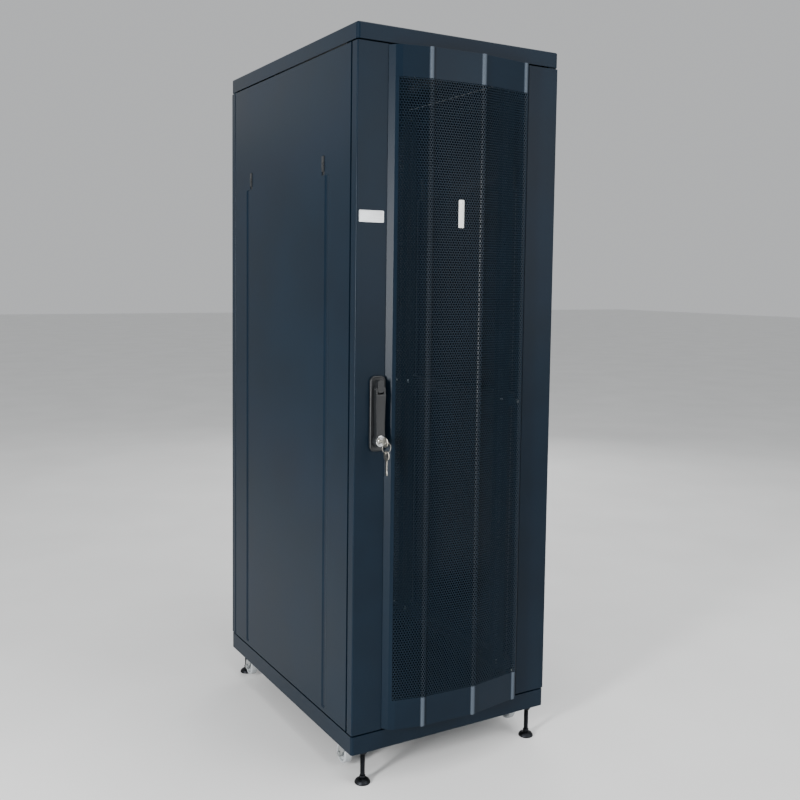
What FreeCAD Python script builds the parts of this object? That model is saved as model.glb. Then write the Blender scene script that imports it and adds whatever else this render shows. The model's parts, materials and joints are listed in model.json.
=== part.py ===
import FreeCAD, Part
import math
import os
from FreeCAD import Vector

# Floor-standing 19-inch server rack cabinet: 37 rack units, 600 wide, 800 deep.
#
# The cabinet is drawn with x = 0 at its middle, y = 0 at the face of the front door's
# stiles (the rear door's face is at y = depth) and z = 0 at the underside of its base.
# save() then moves every node so that the origin lies on the floor, under the middle of
# the finished cabinet's box.  All lengths are in millimetres.

# --- driving dimensions ---------------------------------------------------------------
width = 600.0
depth = 800.0
height = 1766.0              # from the underside of the base to the top of the roof
foot_drop = 85.0             # from the underside of the base to the floor
rack_units = 37
unit_height = 44.45
key_reach = 62.0             # how far the spare key stands out in front of the door
rear_lock_reach = 6.0        # how far the rear lock stands out behind the rear door

base_height = 46.0
roof_height = 39.0
reveal = 4.0                 # gap between a door or side panel and the base or roof
roof_sheet = 1.5
base_sheet = 2.0
frame_sheet = 1.5
rail_sheet = 2.0
door_sheet = 1.5
skin_sheet = 1.2
corner_radius = 8.0

door_thickness = 27.0
frame_front = 32.0           # front of the corner posts
post_outer = 286.0
post_inner = 255.0
post_depth = 46.0
post_tongue = 63.0           # how far the post's inner wall runs back, for the beam bolts
beam_height = 36.0
beam_levels = {"bottom": 60.0, "middle": 820.0, "top": 1662.0}
rail_face = 125.0            # front faces of the front mounting rails
rail_opening = 450.0         # clear width between the rails
rail_hole_spacing = 465.1
rail_hole = 9.5
rail_return = 48.0
panel_depth = 12.0
panel_sheet = 1.2

half_width = width / 2
door_bottom = base_height + reveal
door_top = height - roof_height - reveal
frame_top = height - roof_sheet
roof_bottom = height - roof_height
bay_bottom = 58.0            # lowest and highest clear level inside the frames
bay_top = 1706.0
hinge_x, hinge_y = 291.0, 13.0
hinge_pin_radius = 3.0
running_gap = 0.05
free_gap = 0.3

# --- shapes ---------------------------------------------------------------------------


def box(x, y, z):
    """A block from three (low, high) pairs."""
    return Part.makeBox(x[1] - x[0], y[1] - y[0], z[1] - z[0], Vector(x[0], y[0], z[0]))


AXES = {"x": Vector(1, 0, 0), "y": Vector(0, 1, 0), "z": Vector(0, 0, 1)}


def rod(radius, along, start, end, centre):
    """A cylinder along one axis; centre gives its other two coordinates in x, y, z order."""
    base = {"x": lambda a, b: Vector(start, a, b),
            "y": lambda a, b: Vector(a, start, b),
            "z": lambda a, b: Vector(a, b, start)}[along](*centre)
    return Part.makeCylinder(radius, end - start, base, AXES[along])


def prism(outline, along, start, end):
    """A closed outline of (a, b) points, pulled along one axis from start to end."""
    point = {"x": lambda a, b: Vector(start, a, b),
             "y": lambda a, b: Vector(a, start, b),
             "z": lambda a, b: Vector(a, b, start)}[along]
    corners = [point(a, b) for a, b in outline]
    face = Part.Face(Part.makePolygon(corners + corners[:1]))
    return face.extrude(AXES[along] * (end - start))


def folded_sheet(path, thickness):
    """The outline of a sheet folded along path; its thickness lies left of the path."""
    normals = []
    for (xa, ya), (xb, yb) in zip(path, path[1:]):
        length = math.hypot(xb - xa, yb - ya)
        normals.append(((ya - yb) / length, (xb - xa) / length))
    inner = []
    for i, (x, y) in enumerate(path):
        before = normals[max(i - 1, 0)]
        after = normals[min(i, len(normals) - 1)]
        share = thickness / (1 + before[0] * after[0] + before[1] * after[1])
        inner.append((x + share * (before[0] + after[0]), y + share * (before[1] + after[1])))
    return path + inner[::-1]


def hexagon(across_flats, along, start, end, centre):
    """A hexagonal bar, such as a nut or a bolt's head."""
    reach = across_flats / math.sqrt(3)
    corners = [(centre[0] + reach * math.cos(math.radians(60 * i)),
                centre[1] + reach * math.sin(math.radians(60 * i))) for i in range(6)]
    return prism(corners, along, start, end)


def rounded_box(x, y, z, radius, along="z"):
    """A block with the four edges that run along one axis rounded."""
    block = box(x, y, z)
    axis = AXES[along]
    edges = []
    for edge in block.Edges:
        run = edge.Vertexes[1].Point - edge.Vertexes[0].Point
        if abs(abs(run.normalize().dot(axis)) - 1) < 1e-6:
            edges.append(edge)
    return block.makeFillet(radius, edges)


def mirror_x(shape):
    return shape.mirror(Vector(0, 0, 0), AXES["x"])


def mirror_y(shape):
    return shape.mirror(Vector(0, depth / 2, 0), AXES["y"])


def turn_to_rear(shape):
    """Half a turn about the cabinet's upright centre line: front things become rear ones."""
    turned = shape.copy()
    turned.rotate(Vector(0, depth / 2, 0), AXES["z"], 180)
    return turned


def fuse(shapes):
    first, rest = shapes[0], shapes[1:]
    return first.fuse(rest).removeSplitter() if rest else first


def four_corners(shape):
    """A shape drawn at the front left corner, with its mirror images at the other three."""
    left = [shape, mirror_y(shape)]
    return left + [mirror_x(item) for item in left]


# --- base, feet and casters ------------------------------------------------------------
base_flange = 75.0
base_opening = {"x": (-150.0, 150.0), "y": (590.0, 700.0)}
base_panel_half = 240.0
base_panel_inset = 60.0      # from the cabinet's front and rear faces
base_lip = 1.5               # thickness of the floor sheet and of the lip round its opening
base_lip_top = 12.0
foot_x, foot_y = 258.0, 18.0
foot_nut_flats = 19.0        # of the welded nut and of the lock nut
foot_nut_height = 10.0
foot_collar_flats = 14.0
foot_collar_height = 8.0
stud_radius = 6.0
stud_gap = 0.08
foot_travel_up = 10.0
pad_radius = 20.0
pad_height = 12.0
caster_x, caster_y = 262.0, 88.0
caster_height = 72.0
caster_plate_half = 28.0
caster_plate_sheet = 3.0
caster_screw_offset = 21.0
fork_half_width = 15.5
fork_sheet = 2.5
wheel_radius = 25.0
wheel_width = 20.0
wheel_hub_radius = 8.0
web_radius = 19.0            # of the recess in each side of a wheel
web_recess = 4.0
caster_trail = 20.0
axle_radius = 4.0
axle_head_radius = 7.0
screw_hole = 2.7


def base_frame():
    """Four folded members welded into a ring, with a nut welded in over each foot."""
    across = (-half_width, half_width)
    ring = rounded_box(across, (0, depth), (0, base_height), corner_radius)
    pocket = rounded_box((across[0] + base_sheet, across[1] - base_sheet),
                         (base_sheet, depth - base_sheet),
                         (base_sheet, base_height - base_sheet), corner_radius - base_sheet)
    middle = box((across[0] + base_flange, across[1] - base_flange),
                 (base_flange, depth - base_flange), (-1, base_height + 1))
    ring = ring.cut([pocket, middle])
    nut_top = base_sheet + foot_nut_height
    nuts = four_corners(hexagon(foot_nut_flats, "z", base_sheet, nut_top, (-foot_x, foot_y)))
    bores = four_corners(rod(stud_radius + stud_gap, "z", -1, nut_top + 1, (-foot_x, foot_y)))
    for spot in caster_screw_spots():
        bores += four_corners(rod(screw_hole, "z", -1, base_sheet + 1, spot))
    ring = fuse([ring] + nuts).cut(bores)
    upright = (-1, base_height + 1)
    between = (base_flange, depth - base_flange)
    members = [box(across, (0, base_flange), upright), box(across, (between[1], depth), upright),
               box((across[0], 0), between, upright), box((0, across[1]), between, upright)]
    return [ring.common(member) for member in members]


def base_panel():
    """Four floor sheets on the base's lower flange, which meet round an opening for cables.

    Each sheet has its own length of the lip that stands round the opening.
    """
    across = (-base_panel_half, base_panel_half)
    along = (base_panel_inset, depth - base_panel_inset)
    floor = box(across, along, (base_sheet, base_sheet + base_lip))
    x, y = base_opening["x"], base_opening["y"]
    lip = box((x[0] - base_lip, x[1] + base_lip), (y[0] - base_lip, y[1] + base_lip),
              (base_sheet, base_lip_top))
    upright = (0, base_lip_top + 1)
    floor = fuse([floor, lip])
    sheets = [box(across, (along[0], y[0]), upright), box(across, (y[1], along[1]), upright),
              box((across[0], x[0]), y, upright), box((x[1], across[1]), y, upright)]
    return [floor.common(sheet) for sheet in sheets]


def foot_lock_nut():
    nut = hexagon(foot_nut_flats, "z", -foot_nut_height, 0, (-foot_x, foot_y))
    return nut.cut(rod(stud_radius + stud_gap, "z", -foot_nut_height - 1, 1, (-foot_x, foot_y)))


def levelling_foot():
    """Threaded stud riveted into a domed pad, with a hexagon above the pad for a spanner."""
    low = -foot_drop
    pad_profile = [(0, low), (pad_radius, low), (pad_radius, low + 4), (pad_radius - 4, low + 9),
                   (9, low + pad_height), (0, low + pad_height)]
    corners = [Vector(r, 0, z) for r, z in pad_profile]
    pad = Part.Face(Part.makePolygon(corners + corners[:1])).revolve(Vector(), AXES["z"], 360)
    pad.translate(Vector(-foot_x, foot_y, 0))
    collar_top = low + pad_height + foot_collar_height
    collar = hexagon(foot_collar_flats, "z", low + pad_height, collar_top, (-foot_x, foot_y))
    stud = rod(stud_radius, "z", collar_top, base_height - base_sheet - foot_travel_up - 1,
               (-foot_x, foot_y))
    return fuse([pad, collar, stud])


def caster_plate():
    """Top plate of a swivel caster with the upper half of its ball race."""
    half = caster_plate_half
    plate = rounded_box((-caster_x - half, -caster_x + half), (caster_y - half, caster_y + half),
                        (-caster_plate_sheet, 0), 6)
    race = rod(12, "z", -6, -caster_plate_sheet, (-caster_x, caster_y))
    holes = [rod(screw_hole, "z", -5, 1, spot) for spot in caster_screw_spots()]
    return fuse([plate, race]).cut(holes)


def caster_screw_spots():
    offsets = (-caster_screw_offset, caster_screw_offset)
    return [(-caster_x + dx, caster_y + dy) for dx in offsets for dy in offsets]


def caster_fork():
    """Pressed fork with its riveted axle; the axle lies behind the swivel's centre."""
    axle_z = wheel_radius - caster_height
    race = rod(17, "z", -9.5, -6.3, (-caster_x, caster_y))
    bridge = box((-caster_x - fork_half_width, -caster_x + fork_half_width),
                 (caster_y - 14, caster_y + 16), (-9.5 - fork_sheet, -9.5))
    leg_outline = [(caster_y - 14, -9.5), (caster_y + 16, -9.5), (caster_y + 29, axle_z + 6),
                   (caster_y + 27, axle_z - 5), (caster_y + 20, axle_z - 9),
                   (caster_y + 13, axle_z - 6), (caster_y - 8, -24)]
    legs = [prism(leg_outline, "x", -caster_x + side, -caster_x + side + fork_sheet)
            for side in (-fork_half_width, fork_half_width - fork_sheet)]
    axle_centre = (caster_y + caster_trail, axle_z)
    bore = rod(axle_radius, "x", -caster_x - 20, -caster_x + 20, axle_centre)
    fork = fuse([race, bridge] + legs).cut(bore)
    shaft = rod(axle_radius, "x", -caster_x - fork_half_width - 0.5,
                -caster_x + fork_half_width + 0.5, axle_centre)
    heads = [rod(axle_head_radius, "x", -caster_x + side, -caster_x + side + 2.5, axle_centre)
             for side in (-fork_half_width - 2.5, fork_half_width)]
    return [fork, fuse([shaft] + heads)]


def caster_wheel():
    """Wheel with a tread that stands proud of its web and a hub that fills the fork."""
    centre = (caster_y + caster_trail, wheel_radius - caster_height)
    half = wheel_width / 2
    tread = rod(wheel_radius, "x", -caster_x - half, -caster_x + half, centre)
    tread = tread.makeFillet(2.5, [edge for edge in tread.Edges if edge.isClosed()])
    for side in (-1, 1):
        low, high = sorted((-caster_x + side * half, -caster_x + side * (half - web_recess)))
        tread = tread.cut(rod(web_radius, "x", low - 0.01, high + 0.01, centre))
    hub = rod(wheel_hub_radius, "x", -caster_x - 12.5, -caster_x + 12.5, centre)
    bore = rod(axle_radius + running_gap, "x", -caster_x - 20, -caster_x + 20, centre)
    return fuse([tread, hub]).cut(bore)


# --- frames, beams and rails -----------------------------------------------------------
bolt_radius = 3.0
bolt_flats = 10.0
frame_bolt_y = frame_front + 48
rail_bolt_y = rail_face + 24
unit_hole_offsets = (6.35, 22.225, 38.1)     # square holes above a rack unit's lower edge
beam_slots = 13
beam_slot_half = (11.0, 3.3)


def front_frame():
    """Two folded corner posts welded to a lower and an upper cross member."""
    path = [(-post_outer, frame_front + post_depth), (-post_outer, frame_front),
            (-post_inner, frame_front), (-post_inner, frame_front + post_tongue)]
    post = prism(folded_sheet(path, frame_sheet), "z", base_height, frame_top)
    sill = prism(folded_sheet([(frame_front + post_depth, base_height + 12),
                               (frame_front + post_depth, base_height),
                               (frame_front, base_height), (frame_front, bay_bottom)],
                              -frame_sheet), "x", -post_outer, post_outer)
    lintel = prism(folded_sheet([(frame_front + post_depth, frame_top),
                                 (frame_front, frame_top), (frame_front, bay_top),
                                 (frame_front + post_depth, bay_top)], frame_sheet),
                   "x", -post_outer, post_outer)
    frame = fuse([post, mirror_x(post), sill, lintel])
    roof_holes = [rod(screw_hole, "z", frame_top - 5, frame_top + 1, spot)
                  for spot in roof_screw_spots()]
    return frame.cut(bolt_holes(frame_bolt_y) + roof_holes)


def bolt_levels():
    return [low + beam_height / 2 for low in beam_levels.values()]


def bolt_holes(y):
    """Clearance holes through both sides of the cabinet at every beam, at one depth."""
    holes = []
    for z in bolt_levels():
        for side in (-1, 1):
            start = min(side * 270, side * 240)
            holes.append(rod(bolt_radius + free_gap, "x", start, start + 30, (y, z)))
    return holes


def depth_beam(low):
    """Channel that joins the front and rear posts; its slots take the rails at any depth."""
    web = -post_inner - frame_sheet
    outer = -post_outer + frame_sheet + 0.5
    path = [(outer, low), (web, low), (web, low + beam_height), (outer, low + beam_height)]
    start = frame_front + frame_sheet + 2
    beam = prism(folded_sheet(path, frame_sheet), "y", start, depth - start)
    middle = low + beam_height / 2
    long_half, short_half = beam_slot_half
    slots = []
    for i in range(beam_slots):
        y = rail_bolt_y + i * (depth - 2 * rail_bolt_y) / (beam_slots - 1)
        slots.append(rounded_box((web - 5, web + 5), (y - long_half, y + long_half),
                                 (middle - short_half, middle + short_half),
                                 short_half - 0.1, "x"))
    ends = [rod(bolt_radius + free_gap, "x", web - 5, web + 5, (y, middle))
            for y in (frame_bolt_y, depth - frame_bolt_y)]
    return beam.cut(slots + ends)


def mounting_rail():
    """Folded 19-inch rail with three square holes in each rack unit of its front flange."""
    web = -post_inner - frame_sheet
    path = [(-rail_opening / 2, rail_face), (web, rail_face), (web, rail_face + rail_return),
            (web + 16, rail_face + rail_return)]
    low, high = bay_bottom + 1, bay_top - 1
    rail = prism(folded_sheet(path, -rail_sheet), "z", low, high)
    first_unit = (low + high - rack_units * unit_height) / 2
    half = rail_hole / 2
    x = -rail_hole_spacing / 2
    holes = []
    for unit in range(rack_units):
        for offset in unit_hole_offsets:
            z = first_unit + unit * unit_height + offset
            holes.append(box((x - half, x + half), (rail_face - 1, rail_face + rail_sheet + 1),
                             (z - half, z + half)))
    for z in bolt_levels():
        holes.append(rod(bolt_radius + free_gap, "x", web - 5, web + 5, (rail_bolt_y, z)))
    return rail.cut(holes)


def hex_bolt(head_face, y, z):
    """Bolt on the left side of the cabinet, its head towards the middle."""
    head = hexagon(bolt_flats, "x", head_face, head_face + 4, (y, z))
    shank = rod(bolt_radius, "x", head_face - 8, head_face, (y, z))
    return fuse([head, shank])


def hex_bolts():
    """Bolts that hold the beams to the posts, and the rails to the beams."""
    left = []
    for z in bolt_levels():
        for y in (frame_bolt_y, depth - frame_bolt_y):
            left.append(hex_bolt(-post_inner, y, z))
        for y in (rail_bolt_y, depth - rail_bolt_y):
            left.append(hex_bolt(-post_inner - frame_sheet + rail_sheet, y, z))
    return left + [mirror_x(bolt) for bolt in left]


# --- roof -------------------------------------------------------------------------------
vent_start = (-180.0, 240.0)
vent_step = (96.0, 15.0)
vent_count = (4, 12)
vent_slot = (72.0, 6.0)
roof_screw_x = 240.0
roof_screw_y = frame_front + 23
roof_entry_x = (40.0, 220.0)
roof_entry_y = (610.0, 680.0)
entry_overlap = 10.0
entry_cover_sheet = 1.5
screw_head_radius, screw_head_height = 5.0, 2.6
screw_radius, screw_length = 2.5, 5.0


def top_cover():
    """Folded roof with vent slots and two cable entries; its skirt hides the frames' tops."""
    outer = rounded_box((-half_width, half_width), (0, depth), (roof_bottom, height),
                        corner_radius)
    top_edges = [edge for edge in outer.Edges if edge.BoundBox.ZMin > height - 0.01]
    outer = outer.makeFillet(4, top_edges)
    inner = rounded_box((-half_width + roof_sheet, half_width - roof_sheet),
                        (roof_sheet, depth - roof_sheet), (roof_bottom - 1, frame_top),
                        corner_radius - roof_sheet)
    cuts = [inner]
    for column in range(vent_count[0]):
        for row in range(vent_count[1]):
            x = vent_start[0] + vent_step[0] * column
            y = vent_start[1] + vent_step[1] * row
            cuts.append(rounded_box((x, x + vent_slot[0]), (y, y + vent_slot[1]),
                                    (frame_top - 1, height + 1), vent_slot[1] / 2 - 0.1))
    for side in (-1, 1):
        across = sorted((side * roof_entry_x[0], side * roof_entry_x[1]))
        cuts.append(rounded_box(across, roof_entry_y, (frame_top - 1, height + 1), 6))
    for spot in roof_screw_spots() + entry_screw_spots():
        cuts.append(rod(screw_hole, "z", frame_top - 1, height + 1, spot))
    return outer.cut(cuts)


def roof_screw_spots():
    return [(x, y) for x in (-roof_screw_x, 0, roof_screw_x)
            for y in (roof_screw_y, depth - roof_screw_y)]


def entry_screw_spots():
    middle = sum(roof_entry_y) / 2
    return [(side * x, middle) for side in (-1, 1)
            for x in (roof_entry_x[0] - 6, roof_entry_x[1] + 6)]


def roof_entry_covers():
    covers = []
    low = (roof_entry_x[0] - entry_overlap - 2, roof_entry_x[1] + entry_overlap + 2)
    for side in (-1, 1):
        across = sorted((side * low[0], side * low[1]))
        plate = rounded_box(across, (roof_entry_y[0] - entry_overlap,
                                     roof_entry_y[1] + entry_overlap),
                            (height, height + entry_cover_sheet), corner_radius)
        covers.append(plate.cut([rod(screw_hole, "z", height - 1, height + 3, spot)
                                 for spot in entry_screw_spots()]))
    return covers


def pan_head_screw(spot, seat, up):
    """Screw with its head on seat, pointing down if up is 1 and up if up is -1."""
    top = seat + up * screw_head_height
    head = rod(screw_head_radius, "z", min(seat, top), max(seat, top), spot)
    rim = [edge for edge in head.Edges if edge.isClosed()
           and abs(edge.BoundBox.ZMin - top) < 0.01]
    head = head.makeFillet(1.6, rim)
    end = seat - up * screw_length
    return fuse([head, rod(screw_radius, "z", min(seat, end), max(seat, end), spot)])


def pan_head_screws():
    """The roof's, entry covers' and casters' screws, all of one size."""
    screws = [pan_head_screw(spot, height, 1) for spot in roof_screw_spots()]
    screws += [pan_head_screw(spot, height + entry_cover_sheet, 1)
               for spot in entry_screw_spots()]
    for spot in caster_screw_spots():
        screws += four_corners(pan_head_screw(spot, -caster_plate_sheet, -1))
    return screws


# --- doors ------------------------------------------------------------------------------
stile_left_edge = -217.0     # inner edges of the front door's stiles
stile_right_edge = 205.0
skin_lap = 10.0              # how far the skin's flanges run behind the stiles
bead_half_width = 7.0
bead_height = 3.0
# Folds of the front door's skin in plan, left to right; each bead's middle is marked.
skin_folds = [(-205.0, -14.0, False), (-190.0, -22.0, False), (-117.0, -37.0, True),
              (32.0, -44.0, True), (178.0, -21.0, True), (193.0, -13.0, False)]
bead_slope = 2.5             # width of each sloping side of a bead
rear_opening_half = 215.0
mesh_lap = 8.0
solid_strip = 76.0           # unperforated height at a door's lower and upper end
door_lip = 16.0              # width left round the open back of a door frame
hinge_collar_radius, hinge_collar_height = 5.0, 4.0
hinge_pin_run = 20.0         # how far a hinge pin reaches into the door
bracket_sheet = 3.0
bracket_tab = 20.0


def door_tray(openings):
    """Folded door frame: a face with return flanges, lips behind them, and its openings."""
    across = (-half_width, half_width)
    upright = (door_bottom, door_top)
    outer = rounded_box(across, (0, door_thickness), upright, 3)
    inside = box((across[0] + door_sheet, across[1] - door_sheet),
                 (door_sheet, door_thickness - door_sheet),
                 (upright[0] + door_sheet, upright[1] - door_sheet))
    back = box((across[0] + door_lip, across[1] - door_lip),
               (door_thickness - 5, door_thickness + 1),
               (upright[0] + door_lip, upright[1] - door_lip))
    pins = [rod(hinge_pin_radius, "z", door_bottom - 1, door_bottom + 5, (hinge_x, hinge_y)),
            rod(hinge_pin_radius, "z", door_top - 5, door_top + 1, (hinge_x, hinge_y))]
    return outer.cut([inside, back] + pins + openings)


def front_door_frame():
    opening = box((stile_left_edge, stile_right_edge), (-1, door_sheet + 0.5),
                  (door_bottom - 1, door_top + 1))
    rotor_hole = rod(rotor_shaft + 1, "y", -1, 5, (handle_x, rotor_z))
    return door_tray([opening, rotor_hole])


def skin_path():
    """Plan of the skin's outer face from the left lap to the right one, beads included."""
    path = [(stile_left_edge - skin_lap, door_sheet), (stile_left_edge + 0.5, door_sheet)]
    corners = [(stile_left_edge, 0.0)] + [(x, y) for x, y, _ in skin_folds]
    corners.append((stile_right_edge, 0.0))
    for i, (x, y, bead) in enumerate(skin_folds, start=1):
        if not bead:
            path.append((x, y))
            continue
        (xa, ya), (xb, yb) = corners[i - 1], corners[i + 1]
        slope_in = (y - ya) / (x - xa)
        slope_out = (yb - y) / (xb - x)
        path.append((x - bead_half_width, y - slope_in * bead_half_width))
        path.append((x - bead_half_width + bead_slope, y - bead_height))
        path.append((x + bead_half_width - bead_slope, y - bead_height))
        path.append((x + bead_half_width, y + slope_out * bead_half_width))
    path.append((stile_right_edge - 0.5, door_sheet))
    path.append((stile_right_edge + skin_lap, door_sheet))
    return path


def front_door_skin():
    """Convex folded skin over the whole height, closed by a plate at each end."""
    path = skin_path()
    sheet = prism(folded_sheet(path, skin_sheet), "z", door_bottom + door_sheet,
                  door_top - door_sheet)
    edge = path[1:-1]
    ends = [prism(edge, "z", low, low + skin_sheet)
            for low in (door_bottom + door_sheet, door_top - door_sheet - skin_sheet)]
    return fuse([sheet] + ends)


def rear_door_frame():
    opening = box((-rear_opening_half, rear_opening_half), (-1, door_sheet + 0.5),
                  (door_bottom + solid_strip, door_top - solid_strip))
    lock_hole = rod(10.2, "y", -1, 5, (handle_x, rear_lock_z))
    return turn_to_rear(door_tray([opening, lock_hole]))


def rear_door_mesh():
    """Flat sheet behind the rear door's opening, lapping it all round."""
    half = rear_opening_half + mesh_lap
    return turn_to_rear(box((-half, half), (door_sheet, door_sheet + skin_sheet),
                            (door_bottom + solid_strip - mesh_lap,
                             door_top - solid_strip + mesh_lap)))


def hinge_pins():
    """A collared pin through each end of the door, the collar inside the door."""
    spot = (hinge_x, hinge_y)
    low, high = door_bottom + door_sheet, door_top - door_sheet
    lower = fuse([rod(hinge_pin_radius, "z", base_height + 0.5, door_bottom + hinge_pin_run, spot),
                  rod(hinge_collar_radius, "z", low, low + hinge_collar_height, spot)])
    upper = fuse([rod(hinge_pin_radius, "z", door_top - hinge_pin_run, roof_bottom - 0.5, spot),
                  rod(hinge_collar_radius, "z", high - hinge_collar_height, high, spot)])
    return [lower, upper]


def hinge_bracket(ear_low, tab_low, tab_high):
    """An ear with the pin's bore, and an upright tab welded to the corner post's face."""
    left, right = hinge_x - 17, hinge_x + 7
    ear = rounded_box((left, right), (5, frame_front + 12), (ear_low, ear_low + bracket_sheet), 2)
    ear = ear.cut(box((left - 1, right + 1), (frame_front - 0.01, depth),
                      (ear_low - 1, ear_low + bracket_sheet + 1)))
    tab = box((left, post_outer), (frame_front - bracket_sheet, frame_front), (tab_low, tab_high))
    bore = rod(hinge_pin_radius + running_gap, "z", ear_low - 1, ear_low + bracket_sheet + 1,
               (hinge_x, hinge_y))
    return fuse([ear, tab]).cut(bore)


def hinge_brackets():
    """Ears under and over the door's ends."""
    upper_ear = roof_bottom - bracket_sheet
    return [hinge_bracket(base_height, base_height, base_height + bracket_tab),
            hinge_bracket(upper_ear, upper_ear, roof_bottom + bracket_tab)]


# --- swing handle, lock and keys --------------------------------------------------------
handle_x = -239.0
handle_low, handle_high = 753.0, 936.0
handle_width = 42.0
plate_front = -8.0
rotor_z = 916.0
rotor_shaft = 9.0
pivot_y, pivot_z = -14.5, 905.0
pivot_pin_radius = 2.0
lever_top = 893.0
lever_half_top, lever_half_foot = 13.0, 11.0
ear_radius, ear_sheet = 6.0, 4.0
lock_z = 780.0
lock_boss_radius = 16.0
lock_radius = 10.0
lock_face_radius = 13.5
lever_back, lever_front = plate_front - free_gap, -22.0
cam_back = 36.0
cam_sheet = 3.0
cam_half_width = 8.0
cam_shaft_radius = 5.0
cam_reach = 14.5             # stops just short of the post, so the door can swing
lock_face = -25.0
bow_hole_y = -50.0
bow_radius = 12.0
bow_hole_radius = 3.5
blade_half_width = 4.0
key_thickness = 2.2
ring_radius, ring_wire = 12.0, 0.8
rear_lock_z = 850.0
rear_plug_radius = 7.0
rear_plate_height = 3.0      # how far the rear lock's collar stands out


def handle_base():
    half = handle_width / 2
    plate = rounded_box((handle_x - half, handle_x + half), (plate_front, 0),
                        (handle_low, handle_high), 13, "y")
    front_edges = [edge for edge in plate.Edges if edge.BoundBox.YMax < plate_front + 0.01]
    plate = plate.makeFillet(2.5, front_edges)
    return plate.cut(rod(rotor_shaft + running_gap, "y", -20, 5, (handle_x, rotor_z)))


def handle_rotor():
    """Spindle through the door, with a head that carries the lever's pivot."""
    head = rounded_box((handle_x - 8.7, handle_x + 8.7), (-21, lever_back),
                       (pivot_z - 8, rotor_z + 11), 6, "y")
    neck = rod(rotor_shaft, "y", lever_back, 8, (handle_x, rotor_z))
    shaft = rod(cam_shaft_radius, "y", 8, cam_back + 8, (handle_x, rotor_z))
    bore = rod(pivot_pin_radius, "x", handle_x - 20, handle_x + 20, (pivot_y, pivot_z))
    return fuse([head, neck, shaft]).cut(bore)


def lever_pivot_pin():
    reach = lever_half_top - 0.5
    return rod(pivot_pin_radius, "x", handle_x - reach, handle_x + reach, (pivot_y, pivot_z))


def handle_lever():
    """Long grip with two ears at its top and a round boss for the lock near its foot."""
    waist = lock_z + 20
    right = [(lever_half_top, lever_top), (lever_half_foot, waist), (lever_half_foot, lock_z)]
    outline = [(handle_x + x, z) for x, z in right] + [(handle_x - x, z) for x, z in right[::-1]]
    grip = prism(outline, "y", lever_front, lever_back)
    boss = rod(lock_boss_radius, "y", lever_front, lever_back, (handle_x, lock_z))
    grip = fuse([grip, boss])
    front_edges = [edge for edge in grip.Edges if edge.BoundBox.YMax < lever_front + 0.01]
    grip = grip.makeChamfer(2, front_edges)
    ears = []
    for side in (-1, 1):
        low, high = sorted((handle_x + side * (lever_half_top - ear_sheet),
                            handle_x + side * lever_half_top))
        ears.append(rod(ear_radius, "x", low, high, (pivot_y, pivot_z)))
        ears.append(box((low, high), (pivot_y - ear_radius, pivot_y + ear_radius),
                        (lever_top - 5, pivot_z)))
    bore = rod(pivot_pin_radius + running_gap, "x", handle_x - 20, handle_x + 20,
               (pivot_y, pivot_z))
    lock_bore = rod(lock_radius, "y", -40, 5, (handle_x, lock_z))
    return fuse([grip] + ears).cut([bore, lock_bore])


def handle_cam():
    """Latch tongue on the rotor's inner end, pointing at the post while the door is shut."""
    blade = rounded_box((handle_x - cam_reach, handle_x + cam_half_width),
                        (cam_back, cam_back + cam_sheet),
                        (rotor_z - cam_half_width, rotor_z + cam_half_width), 3, "y")
    nut = hexagon(16, "y", cam_back + cam_sheet, cam_back + 7, (handle_x, rotor_z))
    return fuse([blade, nut]).cut(rod(cam_shaft_radius, "y", 0, 60, (handle_x, rotor_z)))


def lock_cylinder():
    """Plug with a broad face that turns in the lever's boss."""
    barrel = rod(lock_radius - running_gap, "y", lever_front, lever_back - 1, (handle_x, lock_z))
    face = rod(lock_face_radius, "y", lock_face, lever_front - free_gap, (handle_x, lock_z))
    face = face.makeFillet(1.2, [edge for edge in face.Edges if edge.isClosed()
                                 and edge.BoundBox.YMax < lock_face + 0.01])
    neck = rod(9, "y", lever_front - 1, lever_front + 1, (handle_x, lock_z))
    keyway = box((handle_x - 1.3, handle_x + 1.3), (lock_face - 1, lever_back - 2),
                 (lock_z - 4.3, lock_z + 4.3))
    return fuse([barrel, neck, face]).cut(keyway)


def key_blank(bow_y, bow_z, blade):
    """Flat key in an upright plane: a round bow and the blade that is given."""
    low = handle_x - key_thickness / 2
    bow = rod(bow_radius, "x", low, low + key_thickness, (bow_y, bow_z))
    return fuse([bow, blade])


def key():
    low = handle_x - key_thickness / 2
    blade = box((low, low + key_thickness), (bow_hole_y + 10, lever_back - 3),
                (lock_z - blade_half_width, lock_z + blade_half_width))
    whole = key_blank(bow_hole_y + 7, lock_z, blade)
    return whole.cut(rod(bow_hole_radius, "x", low - 2, low + 5, (bow_hole_y, lock_z)))


def key_ring():
    return Part.makeTorus(ring_radius, ring_wire,
                          Vector(handle_x, bow_hole_y, lock_z - ring_radius), AXES["y"])


def spare_key():
    low = handle_x - key_thickness / 2
    hole_z = lock_z - 2 * ring_radius
    blade = box((low, low + key_thickness),
                (bow_hole_y - blade_half_width, bow_hole_y + blade_half_width),
                (hole_z - 54, hole_z - 15))
    whole = key_blank(bow_hole_y, hole_z - 7, blade)
    return whole.cut(rod(bow_hole_radius, "x", low - 2, low + 5, (bow_hole_y, hole_z)))


def rear_lock_barrel():
    collar = rod(14, "y", -rear_plate_height, 0, (handle_x, rear_lock_z))
    barrel = rod(lock_radius, "y", 0, 24, (handle_x, rear_lock_z))
    bore = rod(rear_plug_radius + running_gap, "y", -10, 40, (handle_x, rear_lock_z))
    return turn_to_rear(fuse([collar, barrel]).cut(bore))


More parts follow.
